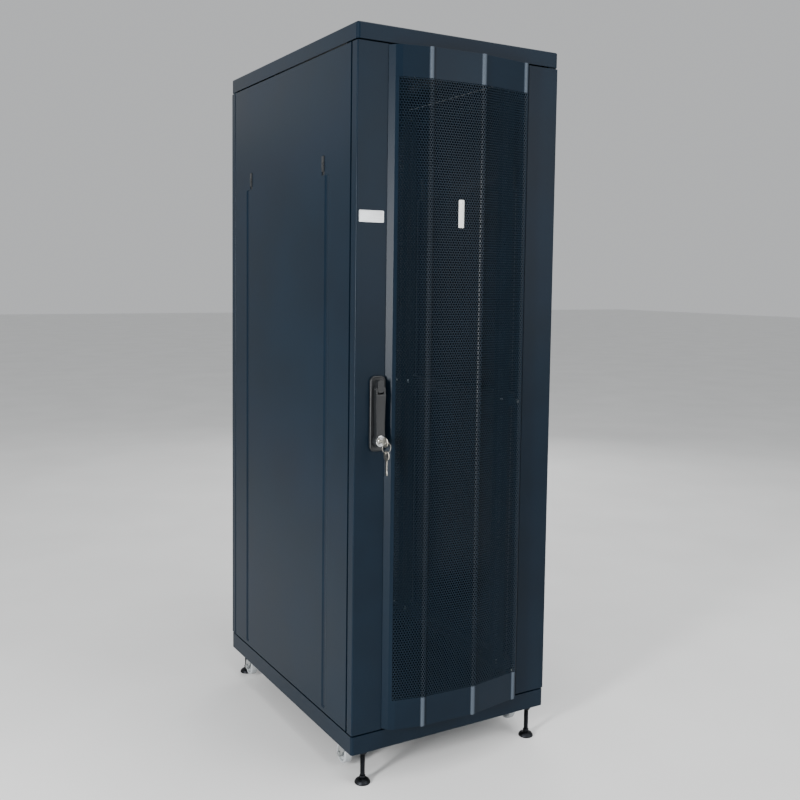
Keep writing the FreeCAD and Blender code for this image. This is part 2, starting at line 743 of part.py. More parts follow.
def rear_lock_plug():
    """Turning plug with a grip bar across its face; its inner end carries the cam."""
    face = -rear_plate_height - 0.5
    plug = rod(rear_plug_radius, "y", face, cam_back + 6, (handle_x, rear_lock_z))
    grip = rounded_box((handle_x - 2, handle_x + 2), (-rear_lock_reach, face),
                       (rear_lock_z - 6, rear_lock_z + 6), 1.5, "y")
    return turn_to_rear(fuse([plug, grip]))


def rear_lock_cam():
    blade = rounded_box((handle_x - cam_reach, handle_x + cam_half_width + 2),
                        (cam_back, cam_back + cam_sheet),
                        (rear_lock_z - cam_half_width, rear_lock_z + cam_half_width), 3, "y")
    return turn_to_rear(blade.cut(rod(rear_plug_radius, "y", 0, 60, (handle_x, rear_lock_z))))


# --- plates on the front door -----------------------------------------------------------
label_x, label_z, label_sheet = (-293.0, -225.0), (1303.0, 1331.0), 1.2
tag_x, tag_z = -29.0, (1296.0, 1364.0)
tag_half, tag_sheet = 7.5, 1.0


def label_plate():
    """Blank plate on the left stile."""
    return rounded_box(label_x, (-label_sheet, 0), label_z, 2, "y")


def tag_strip():
    """Blank upright strip on the skin, between the first and second bead, with its rivet."""
    (xa, ya, _), (xb, yb, _) = skin_folds[2], skin_folds[3]
    slope = (yb - ya) / (xb - xa)

    def skin_face(x):
        return ya + slope * (x - xa) - 0.05

    left, right = tag_x - tag_half, tag_x + tag_half
    strip = prism([(left, skin_face(left)), (left, skin_face(left) - tag_sheet),
                   (right, skin_face(right) - tag_sheet), (right, skin_face(right))],
                  "z", tag_z[0], tag_z[1])
    rivet = rod(3, "y", skin_face(tag_x) - 2.6, skin_face(tag_x) - 0.4, (tag_x, tag_z[1] - 7))
    return fuse([strip, rivet])


# --- side panels ------------------------------------------------------------------------
latch_ys = {"front": 175.0, "rear": 645.0}
latch_z = 1450.0
latch_travel = 8.0
latch_window = (7.0, 24.0)   # half width and half height of the window in the panel
latch_pad_half = 6.4
latch_pad_proud = 1.5        # how far the thumb pad stands out, and below, its grip ridges
latch_grip_proud = 3.0
latch_grips = (-3.0, 5.0)    # lower edges of the two grip ridges, from the pad's middle


def side_panel():
    """Left panel: a shallow tray whose open side faces the frame."""
    y = (frame_front, depth - frame_front)
    z = (door_bottom, door_top)
    outer = box((-half_width, -half_width + panel_depth), y, z)
    hollow = box((-half_width + panel_sheet, 0), (y[0] + panel_sheet, y[1] - panel_sheet),
                 (z[0] + panel_sheet, z[1] - panel_sheet))
    windows = [rounded_box((-half_width - 1, -half_width + 3),
                           (middle - latch_window[0], middle + latch_window[0]),
                           (latch_z - latch_window[1], latch_z + latch_window[1]), 3, "x")
               for middle in latch_ys.values()]
    return outer.cut([hollow] + windows)


def side_latch(y):
    """Spring catch: a thumb pad in the panel's window on a wider slide behind the sheet."""
    inner_face = -half_width + panel_sheet
    across = (y - latch_pad_half, y + latch_pad_half)
    pad = rounded_box((-half_width - latch_pad_proud, inner_face + 1), across,
                      (latch_z - latch_window[1] + latch_travel + 1, latch_z + latch_window[1] - 1),
                      2.5, "x")
    slide = rounded_box((inner_face + free_gap, inner_face + 4), (y - 11, y + 11),
                        (latch_z - latch_window[1] - 2, latch_z + latch_window[1] + 12), 2, "x")
    tongue = box((inner_face + 4, inner_face + 8), (y - 7, y + 7),
                 (latch_z + latch_window[1], latch_z + latch_window[1] + 20))
    grips = [box((-half_width - latch_grip_proud, -half_width), across,
                 (latch_z + low, latch_z + low + 3)) for low in latch_grips]
    return fuse([pad, slide, tongue] + grips)


# --- the whole cabinet ------------------------------------------------------------------
row_shift = Vector(0, (key_reach - rear_lock_reach - depth) / 2, foot_drop)


def save(name, shape):
    """Write one node, moved so that the origin is on the floor under the box's middle."""
    solids = shape if isinstance(shape, list) else [shape]
    solids = [solid.translated(row_shift) for solid in solids]
    whole = solids[0] if len(solids) == 1 else Part.makeCompound(solids)
    whole.exportStep("parts/%s.step" % name)
    print("%-28s %3d solids  %8.1f cm3" % (name, len(whole.Solids), whole.Volume / 1000))


def side_images(shape):
    """A thing drawn on the left, and its mirror image on the right."""
    return {"left": shape, "right": mirror_x(shape)}


def save_corners(name, shape):
    """Four nodes from the one drawn at the front left."""
    for side, image in (("left", lambda item: item), ("right", mirror_x)):
        for end, flip in (("front", lambda item: item), ("rear", mirror_y)):
            parts = shape if isinstance(shape, list) else [shape]
            save("%s_%s_%s" % (name, end, side), [flip(image(item)) for item in parts])


def shift_to_rear(shape):
    """A caster moved from a front corner to the rear one without being turned round."""
    return shape.translated(Vector(0, depth - 2 * caster_y, 0))


def save_casters():
    for side, image in (("left", lambda item: item), ("right", mirror_x)):
        for end, move in (("front", lambda item: item), ("rear", shift_to_rear)):
            save("caster_fork_%s_%s" % (end, side), [move(image(item)) for item in caster_fork()])
            save("caster_wheel_%s_%s" % (end, side), move(image(caster_wheel())))


def main():
    os.makedirs("parts", exist_ok=True)
    save("base_frame", base_frame())
    save("base_panel", base_panel())
    save("foot_lock_nuts", four_corners(foot_lock_nut()))
    save_corners("levelling_foot", levelling_foot())
    save("caster_plates", four_corners(caster_plate()))
    save_casters()

    save("front_frame", front_frame())
    save("rear_frame", mirror_y(front_frame()))
    for level, low in beam_levels.items():
        for side, beam in side_images(depth_beam(low)).items():
            save("depth_beam_%s_%s" % (level, side), beam)
    save_corners("mounting_rail", mounting_rail())
    save("hex_bolts", hex_bolts())
    save("top_cover", top_cover())
    save("roof_entry_covers", roof_entry_covers())
    save("pan_head_screws", pan_head_screws())

    save("front_door_frame", front_door_frame())
    save("front_door_skin", front_door_skin())
    save("front_hinge_pins", hinge_pins())
    save("front_hinge_brackets", hinge_brackets())
    save("label_plate", label_plate())
    save("tag_strip", tag_strip())
    save("rear_door_frame", rear_door_frame())
    save("rear_door_mesh", rear_door_mesh())
    save("rear_hinge_pins", [turn_to_rear(pin) for pin in hinge_pins()])
    save("rear_hinge_brackets", [turn_to_rear(ear) for ear in hinge_brackets()])

    save("handle_base", handle_base())
    save("handle_rotor", handle_rotor())
    save("handle_cam", handle_cam())
    save("handle_lever", handle_lever())
    save("lever_pivot_pin", lever_pivot_pin())
    save("lock_cylinder", lock_cylinder())
    save("key", key())
    save("key_ring", key_ring())
    save("spare_key", spare_key())
    save("rear_lock_barrel", rear_lock_barrel())
    save("rear_lock_plug", rear_lock_plug())
    save("rear_lock_cam", rear_lock_cam())

    for side, panel in side_images(side_panel()).items():
        save("side_panel_%s" % side, panel)
    for end, y in latch_ys.items():
        for side, latch in side_images(side_latch(y)).items():
            save("side_latch_%s_%s" % (end, side), latch)


main()
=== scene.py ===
# %% [markdown]
# # A floor-standing server rack cabinet
# The cabinet is a steel box on feet and casters: a base, two welded frames joined by beams,
# four mounting rails, a roof, two lift-off side panels and two perforated doors. Its frame
# comes ready made and is never moved. This lesson dresses it: it models the sheets, the
# handle, the keys, the feet and the fasteners by hand, and gives every surface its finish.

# %% Load the frame
import json
import math
import bmesh
import bpy
from mathutils import Matrix, Vector


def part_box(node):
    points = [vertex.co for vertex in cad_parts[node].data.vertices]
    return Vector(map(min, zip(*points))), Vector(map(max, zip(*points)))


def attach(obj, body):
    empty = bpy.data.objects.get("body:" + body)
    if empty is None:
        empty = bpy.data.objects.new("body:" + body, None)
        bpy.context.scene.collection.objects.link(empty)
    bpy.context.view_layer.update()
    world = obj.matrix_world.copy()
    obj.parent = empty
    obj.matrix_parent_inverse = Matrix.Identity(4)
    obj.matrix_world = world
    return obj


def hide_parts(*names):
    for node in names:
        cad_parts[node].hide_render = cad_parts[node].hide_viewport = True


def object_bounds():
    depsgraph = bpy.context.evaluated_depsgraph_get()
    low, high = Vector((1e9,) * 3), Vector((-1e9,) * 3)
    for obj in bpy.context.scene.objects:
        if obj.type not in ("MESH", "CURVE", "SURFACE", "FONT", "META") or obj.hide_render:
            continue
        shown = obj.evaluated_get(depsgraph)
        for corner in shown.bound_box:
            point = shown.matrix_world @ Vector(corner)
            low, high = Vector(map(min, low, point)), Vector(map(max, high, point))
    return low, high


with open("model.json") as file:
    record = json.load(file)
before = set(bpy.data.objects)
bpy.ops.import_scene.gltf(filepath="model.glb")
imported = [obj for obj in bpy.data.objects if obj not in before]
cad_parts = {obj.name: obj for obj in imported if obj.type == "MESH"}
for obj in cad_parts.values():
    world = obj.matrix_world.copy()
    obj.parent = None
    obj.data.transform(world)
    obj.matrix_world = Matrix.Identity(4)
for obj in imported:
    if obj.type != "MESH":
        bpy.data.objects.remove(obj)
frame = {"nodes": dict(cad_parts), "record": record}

cad_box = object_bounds()
print("frame box", [list(corner) for corner in cad_box])

# %% [markdown]
# All the sizes below are in metres. Heights and faces that belong to the frame are read from
# its nodes, so the pieces fit wherever the frame stands.

# %% Places that many pieces share
MM = 0.001


def box_of(node):
    """The lowest and the highest corner of a frame node's box."""
    return [Vector(corner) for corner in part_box(node)]


door_low, door_high = box_of("front_door_frame")
face_y = door_low.y                      # front face of the front door's stiles
print("door face at", round(face_y, 4))

# %% [markdown]
# ## Small tools
# Each piece starts as a primitive, is shaped in edit mode, and ends with its place in its
# mesh. These helpers open and close a piece, pick its faces or edges by where they are, and
# apply a modifier.


# %% Helpers for modelling
def deselect():
    """Start clean: an operator acts on all that is selected."""
    if bpy.context.mode != "OBJECT":
        bpy.ops.object.mode_set(mode="OBJECT")
    bpy.ops.object.select_all(action="DESELECT")


def focus(piece):
    deselect()
    piece.select_set(True)
    bpy.context.view_layer.objects.active = piece
    return piece


def new_piece(name, add, **settings):
    """Add a primitive with one of Blender's add operators and name it."""
    deselect()
    add(**settings)
    piece = bpy.context.active_object
    piece.name = name
    piece.data.name = name
    return piece


def open_edit(piece, kind="FACE"):
    focus(piece)
    bpy.ops.object.mode_set(mode="EDIT")
    bpy.ops.mesh.select_mode(type=kind)
    bpy.ops.mesh.select_all(action="DESELECT")


def pick(piece, kind, test):
    """Select the vertices, edges or faces whose middle passes a test."""
    bpy.ops.mesh.select_mode(type=kind)
    bpy.ops.mesh.select_all(action="DESELECT")
    mesh = bmesh.from_edit_mesh(piece.data)
    if kind == "FACE":
        found = [face for face in mesh.faces if test(face.calc_center_median(), face.normal)]
    elif kind == "EDGE":
        ends = [(edge, edge.verts[0].co, edge.verts[1].co) for edge in mesh.edges]
        found = [edge for edge, a, b in ends if test((a + b) / 2, b - a)]
    else:
        found = [vert for vert in mesh.verts if test(vert.co, vert.normal)]
    for element in found:
        element.select_set(True)
    bmesh.update_edit_mesh(piece.data)


def take_all():
    bpy.ops.mesh.select_all(action="SELECT")


def shift(value):
    bpy.ops.transform.translate(value=value)


def inset(thickness, **settings):
    bpy.ops.mesh.inset(thickness=thickness, **settings)


def pull_out(value):
    """Extrude what is selected and move it."""
    bpy.ops.mesh.extrude_region_move(TRANSFORM_OT_translate={"value": value})


def score(place, direction):
    """Add edges wherever a plane crosses the piece; nothing is cut off."""
    take_all()
    bpy.ops.mesh.bisect(plane_co=place, plane_no=direction, threshold=1e-6)


def face_out():
    take_all()
    bpy.ops.mesh.normals_make_consistent(inside=False)


def close_edit():
    bpy.ops.object.mode_set(mode="OBJECT")


def turn_over(piece):
    """Turn every face of a piece the other way."""
    open_edit(piece)
    take_all()
    bpy.ops.mesh.flip_normals()
    close_edit()


def modify(piece, kind, **settings):
    """Add a modifier with its settings and apply it at once."""
    focus(piece)
    modifier = piece.modifiers.new(kind.lower(), kind)
    for key, value in settings.items():
        setattr(modifier, key, value)
    bpy.ops.object.modifier_apply(modifier=modifier.name)
    return piece


def round_edges(piece, width, segments, degrees):
    """Bevel the edges that are sharper than an angle."""
    return modify(piece, "BEVEL", width=width, segments=segments, limit_method="ANGLE",
                  angle_limit=math.radians(degrees))


def settle(piece):
    """Put the piece's place into its mesh, so that its object is at the origin."""
    focus(piece)
    bpy.ops.object.transform_apply(location=True, rotation=True, scale=True)
    return piece


def smooth(piece, degrees=35):
    focus(piece)
    bpy.ops.object.shade_smooth_by_angle(angle=math.radians(degrees))
    return piece


def level_shading(piece):
    """Keep wide flat faces looking flat next to small bevels."""
    return modify(piece, "WEIGHTED_NORMAL", keep_sharp=True)


def join(name, pieces):
    deselect()
    for piece in pieces:
        piece.select_set(True)
    bpy.context.view_layer.objects.active = pieces[0]
    bpy.ops.object.join()
    whole = bpy.context.active_object
    whole.name = name
    whole.data.name = name
    return whole


def copy_piece(piece, name, location=(0, 0, 0)):
    """A copy with its own mesh, moved by location."""
    twin = piece.copy()
    twin.data = piece.data.copy()
    twin.name = name
    twin.data.name = name
    bpy.context.collection.objects.link(twin)
    twin.location = location
    return settle(twin)


def mirror_piece(piece, name):
    """The same piece on the other side of the cabinet, with its faces turned out again."""
    twin = copy_piece(piece, name)
    twin.scale.x = -1
    settle(twin)
    open_edit(twin)
    face_out()
    close_edit()
    return twin


def finish_piece(piece, body, slot, material, *nodes):
    """Say what a piece rides on, which finish it takes and which frame nodes it stands for."""
    piece.data.materials.clear()
    piece.data.materials.append(material)
    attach(piece, body)
    if nodes:
        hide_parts(*nodes)
    triangles = sum(len(face.vertices) - 2 for face in piece.data.polygons)
    print("%-30s rides on %-24s %7d triangles" % (piece.name, body, triangles))
    return piece


# %% [markdown]
# ## Finishes
# Each finish starts from what the real one is. Colours are written as the hex values that a
# painter's colour chart gives, and one function turns them into the linear values that the
# shader works in. One small function adds a node with its settings and its links.


# %% Helpers for finishes
def linear(code):
    """sRGB hex to linear RGBA."""
    channels = [int(code[i:i + 2], 16) / 255 for i in (1, 3, 5)]
    return [c / 12.92 if c <= 0.04045 else ((c + 0.055) / 1.055) ** 2.4 for c in channels] + [1.0]


def add_node(tree, kind, settings=None, inputs=None, links=None):
    """A node with plain settings, fixed input values, and links from other nodes' outputs."""
    node = tree.nodes.new(kind)
    for key, value in (settings or {}).items():
        setattr(node, key, value)
    for key, value in (inputs or {}).items():
        node.inputs[key].default_value = value
    for key, output in (links or {}).items():
        tree.links.new(output, node.inputs[key])
    return node


def new_finish(name, **values):
    """A material with its shader's constants set; returns it with its tree and parts."""
    material = bpy.data.materials.new(name)
    material.use_nodes = True
    tree = material.node_tree
    shader = tree.nodes["Principled BSDF"]
    for key, value in values.items():
        shader.inputs[key].default_value = value
    place = add_node(tree, "ShaderNodeTexCoord").outputs["Object"]
    return material, tree, shader, place


def ramp(node, stops):
    """Set a colour ramp's stops from (position, colour) pairs."""
    elements = node.color_ramp.elements
    while len(elements) < len(stops):
        elements.new(0.5)
    for element, (position, colour) in zip(elements, stops):
        element.position = position
        element.color = colour
    return node


def let_pattern_choose(tree, shader, factor, colours, gloss, spread=(0.3, 0.7)):
    """Let a pattern choose between two colours and between two roughnesses."""
    colour = ramp(add_node(tree, "ShaderNodeValToRGB", links={"Fac": factor}),
                  [(position, linear(code)) for position, code in zip(spread, colours)])
    rough = add_node(tree, "ShaderNodeMapRange", inputs={"To Min": gloss[0], "To Max": gloss[1]},
                     links={"Value": factor})
    tree.links.new(colour.outputs["Color"], shader.inputs["Base Color"])
    tree.links.new(rough.outputs["Result"], shader.inputs["Roughness"])


def waves_per_metre(size_mm):
    """Noise scale for features of a given size, for Object coordinates in metres."""
    return 1.0 / (size_mm * MM)


# %% [markdown]
# ### Epoxy-polyester powder coat, black with a blue cast
# The sheets are sprayed with dry powder and baked. The melted powder levels out, but not
# quite: it keeps a soft waviness a few millimetres across, called orange peel, and a finer
# pebble under it. That blurs reflections and makes the gloss patchy, so both the bump and
# the roughness follow it. Handling leaves faint broad smudges. The finest grain is about
# 0.4 mm on the real coat and is drawn at 1.2 mm, as coarse as it needs to show.

# %% Powder coat
PEEL_MM, PEBBLE_MM, SMUDGE_MM = 6.0, 1.2, 260.0
PEBBLE_HEIGHT = 0.12 * MM


def powder_coat(name, colours, gloss, peel_height):
    material, tree, shader, place = new_finish(name, **{"Metallic": 0.0, "IOR": 1.5,
                                                        "Specular IOR Level": 0.12})
    smudge = add_node(tree, "ShaderNodeTexNoise", inputs={"Scale": waves_per_metre(SMUDGE_MM),
                      "Detail": 3.0, "Roughness": 0.6}, links={"Vector": place})
    let_pattern_choose(tree, shader, smudge.outputs["Fac"], colours, gloss)
    peel = add_node(tree, "ShaderNodeTexNoise", inputs={"Scale": waves_per_metre(PEEL_MM),
                    "Detail": 1.0}, links={"Vector": place})
    pebble = add_node(tree, "ShaderNodeTexNoise", inputs={"Scale": waves_per_metre(PEBBLE_MM),
                      "Detail": 2.0}, links={"Vector": place})
    soft = add_node(tree, "ShaderNodeBump", inputs={"Strength": 0.35, "Distance": peel_height},
                    links={"Height": peel.outputs["Fac"]})
    fine = add_node(tree, "ShaderNodeBump", inputs={"Strength": 0.25, "Distance": PEBBLE_HEIGHT},
                    links={"Height": pebble.outputs["Fac"], "Normal": soft.outputs["Normal"]})
    tree.links.new(fine.outputs["Normal"], shader.inputs["Normal"])
    return material


BLACK_COAT, MESH_COAT, FRAME_COAT = (("#081520", "#0B1A27"), ("#0F1B25", "#12202C"),
                                     ("#111D27", "#15222D"))
SATIN, PEEL_HEIGHT = (0.32, 0.40), 0.16 * MM
coat_outside = powder_coat("powder_coated_steel", BLACK_COAT, SATIN, PEEL_HEIGHT)
coat_inside = powder_coat("powder_coated_frame_steel", FRAME_COAT, (0.38, 0.50), 0.10 * MM)

# %% [markdown]
# ### The same coat, with a painted highlight on the door's beads
# The front door's sheet has three upright beads, which stand proud of it. Their coat is drawn
# paler than the rest, most on each bead's left half, as a painted highlight, so that they read as
# bright lines. On the real door the pale lines are light reflected by the ridges.
# The pattern needs no image: a colour ramp reads how far across the door a point lies.

# %% Painted highlight on the beads
FOLDS = [(-205, -14, False), (-190, -22, False), (-117, -37, True), (32, -44, True),
         (178, -21, True), (193, -13, False)]    # across, forward, is it a bead, in mm
BEAD_HALF = 7.0                                  # half of a bead's width, in mm
# Painted highlight across a bead: (offset from its middle in mm, how pale); full on the left half,
# fading out to the right
HIGHLIGHT_ACROSS = ((-BEAD_HALF, 0.0), (1 - BEAD_HALF, 1.0), (0.0, 1.0), (4.0, 0.0))
RAMP_HALF_MM = 300.0                             # the ramp runs this far to either side


def coat_with_painted_highlights(name, colours, highlight_colour):
    """Powder coat with a painted highlight: it turns to a paler colour on the beads."""
    material = powder_coat(name, colours, SATIN, PEEL_HEIGHT)
    tree = material.node_tree
    shader = tree.nodes["Principled BSDF"]
    coat_colour = shader.inputs["Base Color"].links[0].from_socket
    place = add_node(tree, "ShaderNodeTexCoord").outputs["Object"]
    across = add_node(tree, "ShaderNodeSeparateXYZ", links={"Vector": place})
    span = add_node(tree, "ShaderNodeMapRange", inputs={"From Min": -RAMP_HALF_MM * MM,
                    "From Max": RAMP_HALF_MM * MM}, links={"Value": across.outputs["X"]})
    stops = [((x + offset + RAMP_HALF_MM) / (2 * RAMP_HALF_MM), (level, level, level, 1.0))
             for x, y, bead in FOLDS if bead for offset, level in HIGHLIGHT_ACROSS]
    # The ramp is the painted highlight's mask: pale on each bead, plain coat between
    highlight_mask = ramp(add_node(tree, "ShaderNodeValToRGB", links={"Fac": span.outputs["Result"]}), stops)
    factor, coat, highlight_socket = 0, 6, 7                 # the mix node's sockets for two colours
    blend = add_node(tree, "ShaderNodeMix", {"data_type": "RGBA"}, {highlight_socket: linear(highlight_colour)},
                     {factor: highlight_mask.outputs["Color"], coat: coat_colour})
    tree.links.new(blend.outputs[2], shader.inputs["Base Color"])
    return material


# The paler colours are painted highlights on the beads, on the solid sheet and on the punched
# facets
coat_door = coat_with_painted_highlights("powder_coat_with_painted_highlight_on_the_beads", BLACK_COAT, "#48515B")
coat_mesh = coat_with_painted_highlights("powder_coat_with_painted_highlight_on_the_mesh", MESH_COAT, "#222B34")

# %% [markdown]
# ### Zinc plate and black oxide
# Bolts, screws and caster forks are electroplated with zinc and passivated. That leaves a
# grey metal with cloudy crystals and a faint blue or straw tint. The levelling feet are
# blackened steel, darker and duller, with a trace of bare metal showing through.

# %% Plated and blackened steel


def plated_metal(name, low, high, cloud_mm, rough_low, rough_high, bump_mm):
    material, tree, shader, place = new_finish(name, Metallic=1.0)
    cloud = add_node(tree, "ShaderNodeTexNoise", inputs={"Scale": waves_per_metre(cloud_mm),
                     "Detail": 4.0, "Roughness": 0.65}, links={"Vector": place})
    let_pattern_choose(tree, shader, cloud.outputs["Fac"], (low, high), (rough_low, rough_high),
                       spread=(0.35, 0.65))
    bump = add_node(tree, "ShaderNodeBump", inputs={"Strength": 0.3, "Distance": bump_mm * MM},
                    links={"Height": cloud.outputs["Fac"]})
    tree.links.new(bump.outputs["Normal"], shader.inputs["Normal"])
    return material


zinc_plate = plated_metal("zinc_plated_steel", "#9FA4A8", "#BDBFBC", 5.0, 0.28, 0.45, 0.05)
black_oxide = plated_metal("black_oxide_steel", "#1B1C1E", "#303236", 4.0, 0.35, 0.55, 0.05)
chrome = plated_metal("chrome_plated_zinc", "#C9CBCD", "#DADCDD", 14.0, 0.08, 0.16, 0.01)
nickel = plated_metal("nickel_plated_steel", "#B9B4A8", "#CBC7BD", 3.0, 0.22, 0.34, 0.03)

# %% [markdown]
# ### Moulded plastics
# The handle and the latches are glass-filled nylon. Their moulds are spark eroded, so the
# surface is an even matt grain under half a millimetre across. The wheels are a grey
# polypropylene core with a polyurethane tread, smoother, with flow marks and scuffs.

# %% Plastics
FLOW_MM = 30.0                           # the flow marks' size


def moulded_plastic(name, low, high, grain_mm, rough_low, rough_high, grain_height_mm):
    material, tree, shader, place = new_finish(name, **{"Metallic": 0.0, "IOR": 1.5})
    flow = add_node(tree, "ShaderNodeTexNoise", inputs={"Scale": waves_per_metre(FLOW_MM),
                    "Detail": 3.0}, links={"Vector": place})
    grain = add_node(tree, "ShaderNodeTexVoronoi", inputs={"Scale": waves_per_metre(grain_mm)},
                     links={"Vector": place})
    let_pattern_choose(tree, shader, flow.outputs["Fac"], (low, high), (rough_low, rough_high))
    bump = add_node(tree, "ShaderNodeBump", inputs={"Strength": 0.4,
                    "Distance": grain_height_mm * MM}, links={"Height": grain.outputs["Distance"]})
    tree.links.new(bump.outputs["Normal"], shader.inputs["Normal"])
    return material


handle_nylon = moulded_plastic("glass_filled_nylon", "#0D0F11", "#14171A", 0.6, 0.42, 0.55, 0.08)
wheel_plastic = moulded_plastic("grey_polypropylene", "#8E9396", "#A2A6A8", 1.5, 0.35, 0.5, 0.03)
tag_plastic = moulded_plastic("white_pvc_strip", "#D6D8D6", "#E6E7E4", 2.0, 0.35, 0.45, 0.02)

# %% [markdown]
# ### Brushed aluminium
# The blank plate is satin anodised aluminium, brushed along its length. Brushing draws fine
# scratches one way, so the noise is stretched hard along X.

# %% Brushed plate
SCRATCH_MM, STRETCH = 0.5, 50


def brushed_aluminium():
    material, tree, shader, place = new_finish("brushed_anodised_aluminium", Metallic=1.0)
    stretch = add_node(tree, "ShaderNodeMapping", inputs={"Scale": (1 / STRETCH, 1.0, 1.0)},
                       links={"Vector": place})
    scratch = add_node(tree, "ShaderNodeTexNoise", inputs={"Scale": waves_per_metre(SCRATCH_MM),
                       "Detail": 2.0}, links={"Vector": stretch.outputs["Vector"]})
    let_pattern_choose(tree, shader, scratch.outputs["Fac"], ("#B9BDC0", "#DADDDE"), (0.3, 0.45))
    bump = add_node(tree, "ShaderNodeBump", inputs={"Strength": 0.3, "Distance": 0.02 * MM},
                    links={"Height": scratch.outputs["Fac"]})
    tree.links.new(bump.outputs["Normal"], shader.inputs["Normal"])
    return material


aluminium = brushed_aluminium()
print("finishes:", [material.name for material in bpy.data.materials])

# %% [markdown]
# ## Dress the frame
# Most frame parts already have the right shape, so they only take a finish. The record says
# which slot each node belongs to, and each slot has one finish; the outer sheets get the
# outside coat.

# %% Finishes for the frame's own nodes
slot_finish = {"black_powder_coat": coat_inside, "zinc_plated_steel": zinc_plate,
               "black_oxide_steel": black_oxide, "grey_wheel_plastic": wheel_plastic,
               "black_plastic": handle_nylon, "chromed_zinc": chrome, "nickel_steel": nickel,
               "satin_aluminium": aluminium, "white_plastic": tag_plastic}
outer_nodes = ["base_frame", "top_cover", "roof_entry_covers", "front_door_frame",
               "rear_door_frame", "front_door_skin", "rear_door_mesh", "side_panel_left",
               "side_panel_right"]
for entry in frame["record"]["subparts"]:
    node = frame["nodes"][entry["node"]]
    finish = slot_finish[entry["material_slot"]]
    if entry["node"] in outer_nodes:
        finish = coat_outside
    node.data.materials.clear()
    node.data.materials.append(finish)

# %% [markdown]
# ## Perforated sheet
# Both doors are mostly punched with small hexagonal holes in a honeycomb. Punching is a
# repeated stroke, and so is the model: one hexagonal cell is inset and its middle deleted,
# two cells make a staggered pair, and two arrays repeat the pair across and up. The web
# between the holes is thin, so each cell has only a few faces. The sheet is then cut to size
# and given its thickness.

# %% One punched sheet
HOLE_PITCH = 7.0 * MM
WEB = 1.5 * MM                           # metal left between two holes
ROW = HOLE_PITCH * math.sqrt(3) / 2
SHEET = 1.2 * MM


def cut_sheet(place, direction):
    """Cut everything off on the far side of a plane; direction points at what goes."""
    take_all()
    bpy.ops.mesh.bisect(plane_co=place, plane_no=direction, clear_outer=True, threshold=1e-6)


def punched_sheet(name, start, run, low, high):
    """Honeycomb sheet in the XZ plane, facing -Y, from x = 0 to run.

    start is how far along the whole sheet this stretch begins, so that holes line up.
    """
    piece = new_piece(name, bpy.ops.mesh.primitive_circle_add, vertices=6,
                      radius=HOLE_PITCH / math.sqrt(3), fill_type="NGON")
    open_edit(piece)
    take_all()
    inset(WEB / 2, use_even_offset=True)
    bpy.ops.mesh.delete(type="FACE")
    take_all()
    bpy.ops.transform.rotate(value=math.pi / 2, orient_axis="X", center_override=(0, 0, 0))
    close_edit()
    if piece.data.polygons[0].normal.y > 0:
        turn_over(piece)
    columns = math.ceil(run / HOLE_PITCH) + 3
    pairs = math.ceil((high - low) / (2 * ROW)) + 1
    for count, offset in ((2, (HOLE_PITCH / 2, 0, ROW)), (columns, (HOLE_PITCH, 0, 0)),
                          (pairs, (0, 0, 2 * ROW))):
        modify(piece, "ARRAY", count=count, use_relative_offset=False, use_constant_offset=True,
               constant_offset_displace=offset)
    piece.location = (-(start % HOLE_PITCH) - HOLE_PITCH, 0, low)
    settle(piece)
    open_edit(piece, "VERT")
    take_all()
    bpy.ops.mesh.remove_doubles(threshold=0.01 * MM)
    cut_sheet((0, 0, 0), (-1, 0, 0))
    cut_sheet((run, 0, 0), (1, 0, 0))
    cut_sheet((0, 0, low), (0, 0, -1))
    cut_sheet((0, 0, high), (0, 0, 1))
    close_edit()
    return modify(piece, "SOLIDIFY", thickness=SHEET, offset=-1)


# %% [markdown]
# ## The front door's skin
# The skin is one sheet folded on a press brake into a shallow bow: a steep first facet, wide
# flat facets, and three narrow raised beads where the facets meet. Its plan is a list of the
# folds. Solid strips are left at the top, at the bottom and along both stiles; the rest is
# punched. The punched facets are made flat, one by one, and each is turned to its facet's
# angle, which is what the press brake does.

# %% Plan of the folded skin
STILE_LEFT, STILE_RIGHT = -217 * MM, 205 * MM
BEAD_SLOPE, BEAD_HEIGHT = 2.5, 3.0
WINDOW_LEFT, WINDOW_RIGHT = -197 * MM, 190 * MM
END_STRIP = 76 * MM
SKIN_LAP, LAP_DEPTH = 10.0, 1.55         # the skin's flanges run behind the stiles


def skin_plan():
    """Points (x, y) of the skin's outer face, in metres, from the left stile to the right."""
    corners = [(STILE_LEFT / MM, 0.0)] + [(x, y) for x, y, _ in FOLDS] + [(STILE_RIGHT / MM, 0.0)]
    plan = [(corners[0][0] - SKIN_LAP, LAP_DEPTH), (corners[0][0] + 0.5, LAP_DEPTH)]
    for i, (x, y, bead) in enumerate(FOLDS, start=1):
        if not bead:
            plan.append((x, y))
            continue
        (xa, ya), (xb, yb) = corners[i - 1], corners[i + 1]
        slope_in, slope_out = (y - ya) / (x - xa), (yb - y) / (xb - x)
        plan.append((x - BEAD_HALF, y - slope_in * BEAD_HALF))
        plan.append((x - BEAD_HALF + BEAD_SLOPE, y - BEAD_HEIGHT))
        plan.append((x + BEAD_HALF - BEAD_SLOPE, y - BEAD_HEIGHT))
        plan.append((x + BEAD_HALF, y + slope_out * BEAD_HALF))
    plan += [(corners[-1][0] - 0.5, LAP_DEPTH), (corners[-1][0] + SKIN_LAP, LAP_DEPTH)]
    return [(x * MM, face_y + y * MM) for x, y in plan]


plan = skin_plan()
skin_low = door_low.z + 1.5 * MM
skin_high = door_high.z - 1.5 * MM
window_low, window_high = door_low.z + END_STRIP, door_high.z - END_STRIP
print("skin has", len(plan) - 1, "facets, window",
      round(window_low, 3), "to", round(window_high, 3))

# %% [markdown]
# The solid part is drawn as the press brake sees it: a flat strip whose far edge is pulled
# out to the next fold, again and again. The window is cut by bisecting the sheet along its
# four sides and deleting the faces inside. Closing plates at the top and bottom are pulled
# back from the sheet's own ends.

# %% Solid borders of the skin


